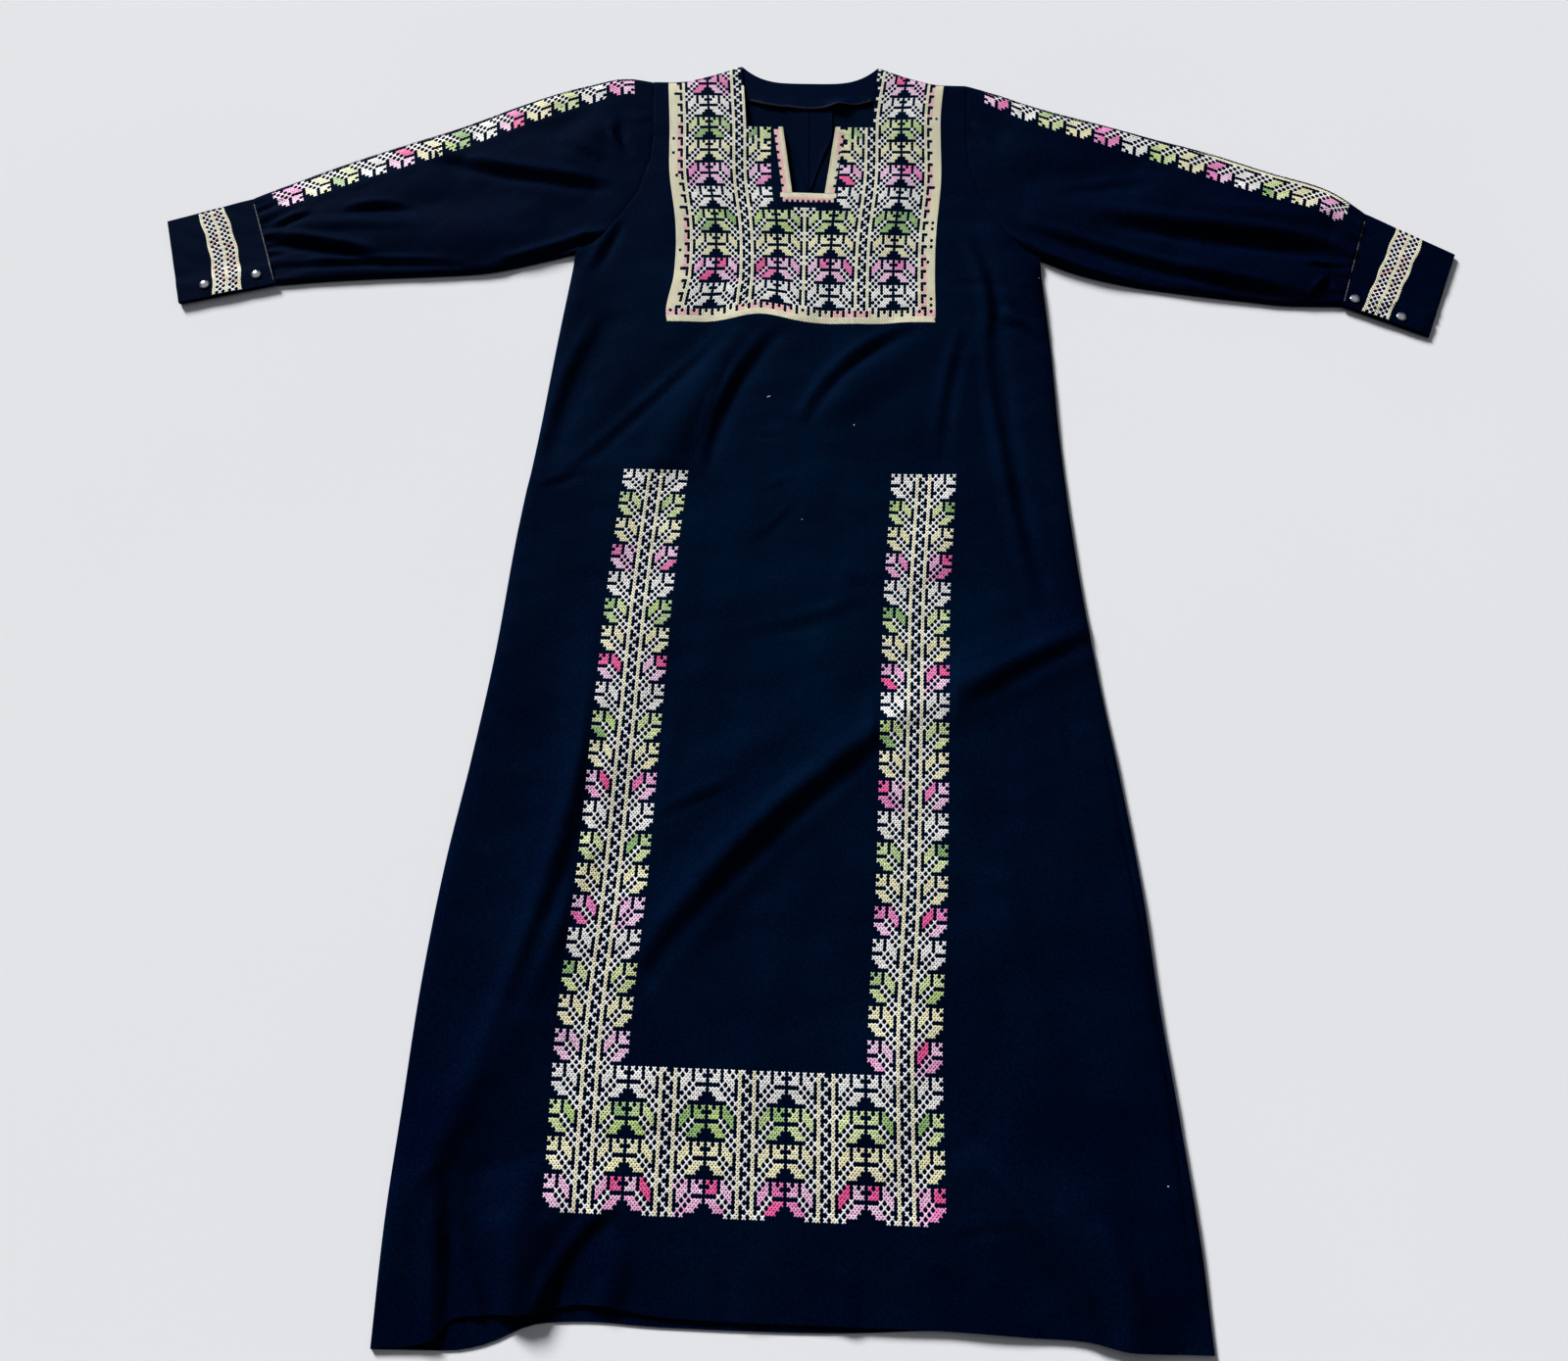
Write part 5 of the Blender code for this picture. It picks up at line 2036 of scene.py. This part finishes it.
    def build(self) -> Piece:
        """The tube of cloth."""
        runs = np.array(
            joined(evenly(0.0, 0.025, 0.005), evenly(0.025, 0.84, 0.0125), evenly(0.84, 1.0, 0.006))
        )
        width = self.width(runs)
        nose = 1.0 - np.cos(np.linspace(0.0, np.pi / 2, 7))
        near = np.concatenate((nose * 6.0, (9.0, 12.0, 16.0)))
        between = np.linspace(0.0, 1.0, 42)[1:-1]
        across = np.concatenate(
            (
                np.broadcast_to(near, (len(runs), len(near))),
                16.0 + (width[:, None] - 32.0) * between,
                width[:, None] - near[::-1],
            ),
            axis=1,
        )
        around = np.concatenate((-across[:, ::-1], across[:, 1:-1]), axis=1)
        run = np.broadcast_to(runs[:, None], around.shape)
        outer = self.surface(run, around)
        inner = self.surface(run, around, -WALL)
        side = self.cuff.side
        name, mirrored = f"sleeve_{side.word}_cloth", side is Side.LEFT
        return shell(name, inner, outer, self.finishes.crepe, closed=True, mirrored=mirrored)

    def build_strip(self) -> Piece:
        """The strip along the top fold: a leaf on top, the stem at the fold, a leaf beneath."""
        side = self.cuff.side
        rows = SLEEVE_STRIP_LEAVES * LEAF_ROWS
        chart = Chart(STRIP_COLUMNS, rows, 81 + side.value)
        chart.leafy_stem(STRIP_STEM, row_dyes(SLEEVE_STRIP_LEAVES, 0))
        reach = StripReach[side.name].value

        def surface(cols: Array, down: Array) -> Array:
            """Points on the sleeve for the chart's columns and rows."""
            run = SLEEVE_STRIP_START + (SLEEVE_STRIP_END - SLEEVE_STRIP_START) * down / rows
            out = cols * STITCH_ACROSS * SLEEVE_STRIP_SPREAD
            return self.surface(run, smooth_curve(STRIP_RUNS, reach, run) - out, THREAD_CLEAR)

        name = f"sleeve_strip_{side.word}_stitches"
        return embroidered(name, chart, surface, self.finishes.thread, side is Side.LEFT)


# Cuffs


def arc(centre: Spot, radius: float, start: float, end: float) -> list[Spot]:
    """Points on a turn from one angle to another, in degrees."""
    turns = np.radians(np.linspace(start, end, 9))
    return [(centre[0] + radius * np.cos(t), centre[1] + radius * np.sin(t)) for t in turns]


@dataclass
class Cuff:
    """One cuff: a deep band that laps over itself, with its embroidered band and two buttons."""

    table: CuffTable
    finishes: Finishes
    half: float = CUFF_WALL / 2

    def __post_init__(self) -> None:
        """Moves the seam corners clear of the sleeve."""
        table = self.table
        ends = (table.seam_top, table.seam_under, table.end_top, table.end_under)
        self.corners = [np.array(corner, float) for corner in ends]
        to_end = self.corners[2] - self.corners[0]
        for corner in self.corners[:2]:
            corner += to_end / np.hypot(*to_end) * SEAM_GAP

    def section(self, width: float) -> list[Spot]:
        """The middle of the wall, from the edge of the lap round the top fold and in under the lap.

        Args:
            width: The cuff's width there.

        Returns:
            Points as distances from the top fold and heights.
        """
        half = self.half
        low = UNDER_CLEARANCE + half
        bend = half + SEAM_GAP / 2
        high = low + 2 * bend
        lap = high + 2 * bend
        inner = width - CUFF_LAP - LAP_SLOPE
        return (
            [(width, lap), (width - CUFF_LAP, lap), (inner, high), (width / 2, high)]
            + arc((bend + half, low + bend), bend, 90, 270)
            + [(width / 2, low)]
            + arc((width - bend - half, low + bend), bend, -90, 90)
            + [(width - CUFF_LAP + TUCK_CLEAR, high)]
        )

    def frame_at(self, share: float) -> tuple[Array, Array, float]:
        """The cuff's corners at a share of its length.

        Args:
            share: From its seam to its open end.

        Returns:
            The top corner, the way from it to the lower one and the width between them.
        """
        top = self.corners[0] + (self.corners[2] - self.corners[0]) * share
        under = self.corners[1] + (self.corners[3] - self.corners[1]) * share
        width = float(np.hypot(*(under - top)))
        return top, (under - top) / width, width

    def ring(
        self, share: float, shares_round: Array, out: float, turned_back: bool = True
    ) -> Array:
        """Points round the cuff at a share of its length.

        Args:
            share: From its seam to its open end.
            shares_round: Shares of the section's length from the edge of the lap.
            out: How far from the middle of its wall, above 0 outside.
            turned_back: Whether the lap's turning back moves them.

        Returns:
            The points.
        """
        top, direction, width = self.frame_at(share)
        path = np.array(self.section(width))
        steps = np.diff(path, axis=0)
        spans = np.hypot(*steps.T)
        sides = np.stack((-steps[:, 1], steps[:, 0]), axis=1) / spans[:, None]
        mean = np.vstack((sides[:1], sides[:-1] + sides[1:], sides[-1:]))
        mean /= np.hypot(*mean.T)[:, None]
        lengths = np.concatenate(([0.0], np.cumsum(spans))) / spans.sum()
        inward, height, nx, nz = (
            np.interp(shares_round, lengths, values)
            for values in (path[:, 0], path[:, 1], mean[:, 0], mean[:, 1])
        )
        puff = 0.35 * np.sin(inward / 9.0 + share * 7.0) * np.clip(-nz, 0.0, 1.0)
        puff = puff + 0.25 * np.sin(share * 11.0 + inward / 23.0) * np.clip(-nz, 0.0, 1.0)
        inward = inward - nx * out
        height = height - nz * out + np.abs(puff)
        on_lap = ease((height - SKEW_FROM) / SKEW_BLEND) * ease(inward / width) * share
        back = self.corners[0] - self.corners[2]
        turned = back / np.hypot(*back) * self.table.skew * turned_back
        plan = top + direction * inward[:, None] + turned * on_lap[:, None]
        return np.column_stack((plan, height))

    def build(self) -> Piece:
        """The band of cloth."""
        seam_end, open_end = evenly(0.0, 0.04, 0.01), evenly(0.96, 1.0, 0.01)
        shares = joined(seam_end, evenly(0.04, 0.96, 0.035), open_end)
        inner, outer = (
            np.array([self.ring(share, ROUND_SHARES, out) for share in shares])
            for out in (-self.half, self.half)
        )
        side = self.table.side
        name, mirrored = f"cuff_{side.word}_cloth", side is Side.RIGHT
        return shell(name, inner, outer, self.finishes.crepe, mirrored=mirrored)

    def laid(self, shares: Array, around: Array) -> Array:
        """Points just off the cuff at shares of its length and shares of the way round."""
        lift = self.half + THREAD_CLEAR
        points = [
            self.ring(share, np.array([turn]), lift, False) for share, turn in zip(shares, around)
        ]
        return np.concatenate(points)

    def build_band(self) -> Piece:
        """The embroidered band round the cuff: lines with a checker between them."""
        draw = np.random.default_rng(SEED + 91 + self.table.side.value)
        cells, colours = [], []
        for row in range(BAND_ROWS):
            warm = np.clip(np.sin(row / 8.0) * 0.6 + 0.2, 0.0, 1.0)
            for col, mark in enumerate(BAND[row % len(BAND)]):
                if mark == ".":
                    continue
                dye = Dye.CREAM if mark == "c" else Dye.WHITE
                if mark == "w" and draw.random() < 0.10 + 0.3 * warm:
                    dye = Dye.BLUSH
                cells.append((col, row))
                colours.append(dye.shade(np.array([draw.uniform(0.0, 0.9)]))[0])
        mirrored = self.table.side is Side.LEFT

        def surface(cols: Array, down: Array) -> Array:
            """Points for the band's columns from the seam and rows from the lap's edge."""
            around = BAND_FROM + (BAND_TO - BAND_FROM) * down / BAND_ROWS
            down_top = np.clip(around / TOP_FOLD, 0.0, 1.0)
            moved = self.table.slant * (1.0 - down_top) + self.table.bow * np.sin(np.pi * down_top)
            wave = 0.006 * np.sin(around * 47.0 + cols * 0.2)
            share = BAND_START + (BAND_END - BAND_START) * cols / len(BAND[0]) - moved + wave
            return self.laid(share, around)

        def beside_seam(cols: Array, down: Array) -> Array:
            """Points for the straight threads along the seam."""
            return self.laid(0.008 + 0.012 * cols, 0.02 + 0.41 * down / SEAM_THREADS)

        stitches = Stitches()
        corners = cells_of(surface, *np.array(cells, float).T)
        stitches.add(corners, np.array(colours), mirrored=mirrored)
        steps = np.arange(float(SEAM_THREADS))
        corners = np.roll(cells_of(beside_seam, steps * 0.0, steps), -1, axis=1)
        dull = Dye.WHITE.shade(draw.uniform(0.0, 1.0, SEAM_THREADS))
        dull = dull * draw.uniform(0.03, 0.24, (SEAM_THREADS, 1))
        stitches.add(corners, dull, straight=True, mirrored=mirrored)
        return stitches.made(f"cuff_band_{self.table.side.word}_stitches", self.finishes.thread)

    def build_buttons(self) -> list[Piece]:
        """Two faceted buttons where the solids have them."""
        made = []
        for count in (1, 2):
            node = f"button_{self.table.side.word}_{count}"
            low, high = (np.array(corner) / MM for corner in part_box(node))
            button = build_button(f"{node}_dome", (low + high) / 2, low[2], self.finishes.metal)
            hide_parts(node)
            made.append(button)
        return made


# The cuff's band: c is a line, w the checker between lines
BAND = ("c.w.c.w.c", "cw.wcw.wc")
ROUND_SHARES = np.unique(
    np.concatenate(
        (np.linspace(0.0, 1.0, 84), np.linspace(0.435, 0.475, 14), np.linspace(0.885, 0.925, 14))
    )
)
BUTTON_RINGS = ((5.55, 0.35, 0), (5.7, 1.0, 0), (4.7, 1.9, 1), (3.3, 2.45, 0), (1.7, 2.85, 1))
BUTTON_SIDES = 12


def build_button(name: str, centre: Array, floor: float, material: Material) -> Piece:
    """A domed button whose crown is cut into facets.

    Args:
        name: The piece's name.
        centre: Its middle in plan.
        floor: The height of its underside.
        material: Its finish.

    Returns:
        The piece.
    """
    rings = []
    for radius, height, odd in BUTTON_RINGS:
        turns = (np.arange(BUTTON_SIDES) + 0.5 * odd) * 2 * np.pi / BUTTON_SIDES
        level = np.full_like(turns, height)
        rings.append(np.stack((radius * np.cos(turns), radius * np.sin(turns), level), -1))
    points = np.concatenate(rings + [np.array(((0, 0, 3.0), (0, 0, 0.0)))])
    faces = []
    crown, base = len(points) - 2, len(points) - 1
    for k in range(BUTTON_SIDES):
        after = (k + 1) % BUTTON_SIDES
        faces.append((base, after, k))
        for ring, (low, high) in enumerate(zip(BUTTON_RINGS, BUTTON_RINGS[1:])):
            a, b = ring * BUTTON_SIDES + k, ring * BUTTON_SIDES + after
            c, d = b + BUTTON_SIDES, a + BUTTON_SIDES
            if high[2] > low[2]:
                faces += [(a, b, d), (b, c, d)]
            else:
                faces += [(a, b, c), (a, c, d)]
        last = (len(BUTTON_RINGS) - 1) * BUTTON_SIDES
        faces.append((last + k, last + after, crown))
    points = points + np.array((centre[0], centre[1], floor))
    return make_object(name, points, np.array(faces), material, 1.0)


# The room


@dataclass(frozen=True)
class Sun:
    """Soft light from far off, as through a large window.

    turn is the compass side that it comes from, in degrees left of +X; height its angle over the
    surface; spread the width of its disc.
    """

    name: str
    turn: float
    height: float
    spread: float
    strength: float
    colour: Colour = (1.0, 1.0, 1.0)

    def build(self) -> None:
        """Sets it up."""
        data = bpy.data.lights.new(self.name, "SUN")
        data.energy = self.strength
        data.color = self.colour
        data.angle = np.radians(self.spread)
        lamp = bpy.data.objects.new(self.name, data)
        lamp.rotation_euler = (0.0, np.radians(90.0 - self.height), np.radians(self.turn))
        bpy.context.scene.collection.objects.link(lamp)


@dataclass
class Studio:
    """The pale floor, the soft light and the camera."""

    floor_half: float = 6.0
    floor_drop: float = 0.3
    camera_place: tuple[float, float, float] = (-0.0097, -0.6037, 1.314)
    camera_tilt: float = 21.3
    camera_roll: float = 0.96
    lens: float = 32.0
    sensor_width: float = 36.0
    sky: tuple[float, float, float, float] = (0.90, 0.94, 1.0, 1.0)
    sky_strength: float = 0.12
    lamps: tuple[Sun, ...] = (
        Sun("window", 124.0, 25.0, 16.0, 5.6, (1.0, 0.99, 0.975)),
        Sun("skylight", 100.0, 75.0, 90.0, 0.30),
    )

    def build(self) -> None:
        """Sets the room up."""
        reach = self.floor_half / MM
        corners = np.array(((-1, -1), (1, -1), (1, 1), (-1, 1)), float) * reach
        points = np.column_stack((corners, np.full(4, -self.floor_drop)))
        floor = make_object("floor", points, np.array(((0, 1, 2, 3),)), FloorFinish("floor").made())
        for lamp in self.lamps:
            lamp.build()
        world = bpy.data.worlds.new("room")
        world.use_nodes = True
        backdrop = world.node_tree.nodes["Background"]
        backdrop.inputs["Color"].default_value = self.sky
        backdrop.inputs["Strength"].default_value = self.sky_strength
        bpy.context.scene.world = world
        bpy.context.scene.view_settings.view_transform = "Standard"
        bpy.context.scene.view_settings.look = "High Contrast"
        data = bpy.data.cameras.new("camera")
        data.lens = self.lens
        data.sensor_width = self.sensor_width
        camera = bpy.data.objects.new("camera", data)
        camera.location = self.camera_place
        camera.rotation_euler = (np.radians(self.camera_tilt), 0.0, np.radians(self.camera_roll))
        bpy.context.scene.collection.objects.link(camera)
        bpy.context.scene.camera = camera


@dataclass
class Dress:
    """The whole garment, put together piece by piece."""

    finishes: Finishes = field(default_factory=Finishes)
    pieces: list[Piece] = field(default_factory=list)

    def keep(self, piece: Piece, slot: str, *nodes: str) -> Piece:
        """Rides a piece on the body and hides the solids that it replaces.

        Args:
            piece: The piece.
            slot: The material slot that its finish comes from. It is not used.
            nodes: The solids that it replaces.

        Returns:
            The piece.
        """
        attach(piece, "root")
        if nodes:
            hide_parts(*nodes)
        self.pieces.append(piece)
        log.info("%s: %d faces", piece.name, len(piece.data.polygons))
        return piece

    def build(self) -> None:
        """Builds every piece in the order in which they lie on each other."""
        cloth, inside, thread = "navy_crepe", "navy_crepe_inside", "embroidery_thread"
        back = self.keep(BackPanel(self.finishes).build(), cloth, "back_panel")
        neck = NeckInside(self.finishes)
        for side in Side:
            node = f"back_allowance_{side.word}"
            piece = self.keep(neck.build_allowance(side), inside, node)
        overcast = self.keep(neck.build_overcast(), inside)
        facing = self.keep(neck.build_facing(), inside, "back_neck_facing")
        seam = self.keep(neck.build_seam(), inside)
        front = self.keep(FrontPanel(self.finishes).build(), cloth, "front_panel")
        embroidery = FrontEmbroidery(self.finishes)
        stitched = [
            self.keep(embroidery.build_lint(), thread),
            self.keep(embroidery.build_yoke(), thread, "yoke_embroidery"),
            self.keep(embroidery.build_panel(), thread, "skirt_panel_embroidery"),
        ]
        for side in Side:
            node = f"skirt_strip_{side.word}"
            stitched.append(self.keep(embroidery.build_strip(side), thread, node))
        for table in CUFFS:
            word = table.side.word
            sleeve = Sleeve(table, self.finishes)
            tube = self.keep(sleeve.build(), cloth, f"sleeve_{word}")
            strip = self.keep(sleeve.build_strip(), thread, f"sleeve_strip_{word}")
            cuff = Cuff(table, self.finishes)
            band = self.keep(cuff.build(), cloth, f"cuff_{word}")
            stitches = self.keep(cuff.build_band(), thread, f"cuff_band_{word}")
            buttons = [self.keep(button, "button_metal") for button in cuff.build_buttons()]


def main() -> None:
    """Builds the dress and the room."""
    logging.basicConfig(level=logging.INFO, format="%(name)s %(message)s")
    Dress().build()
    Studio().build()


if __name__ == "__main__":
    main()
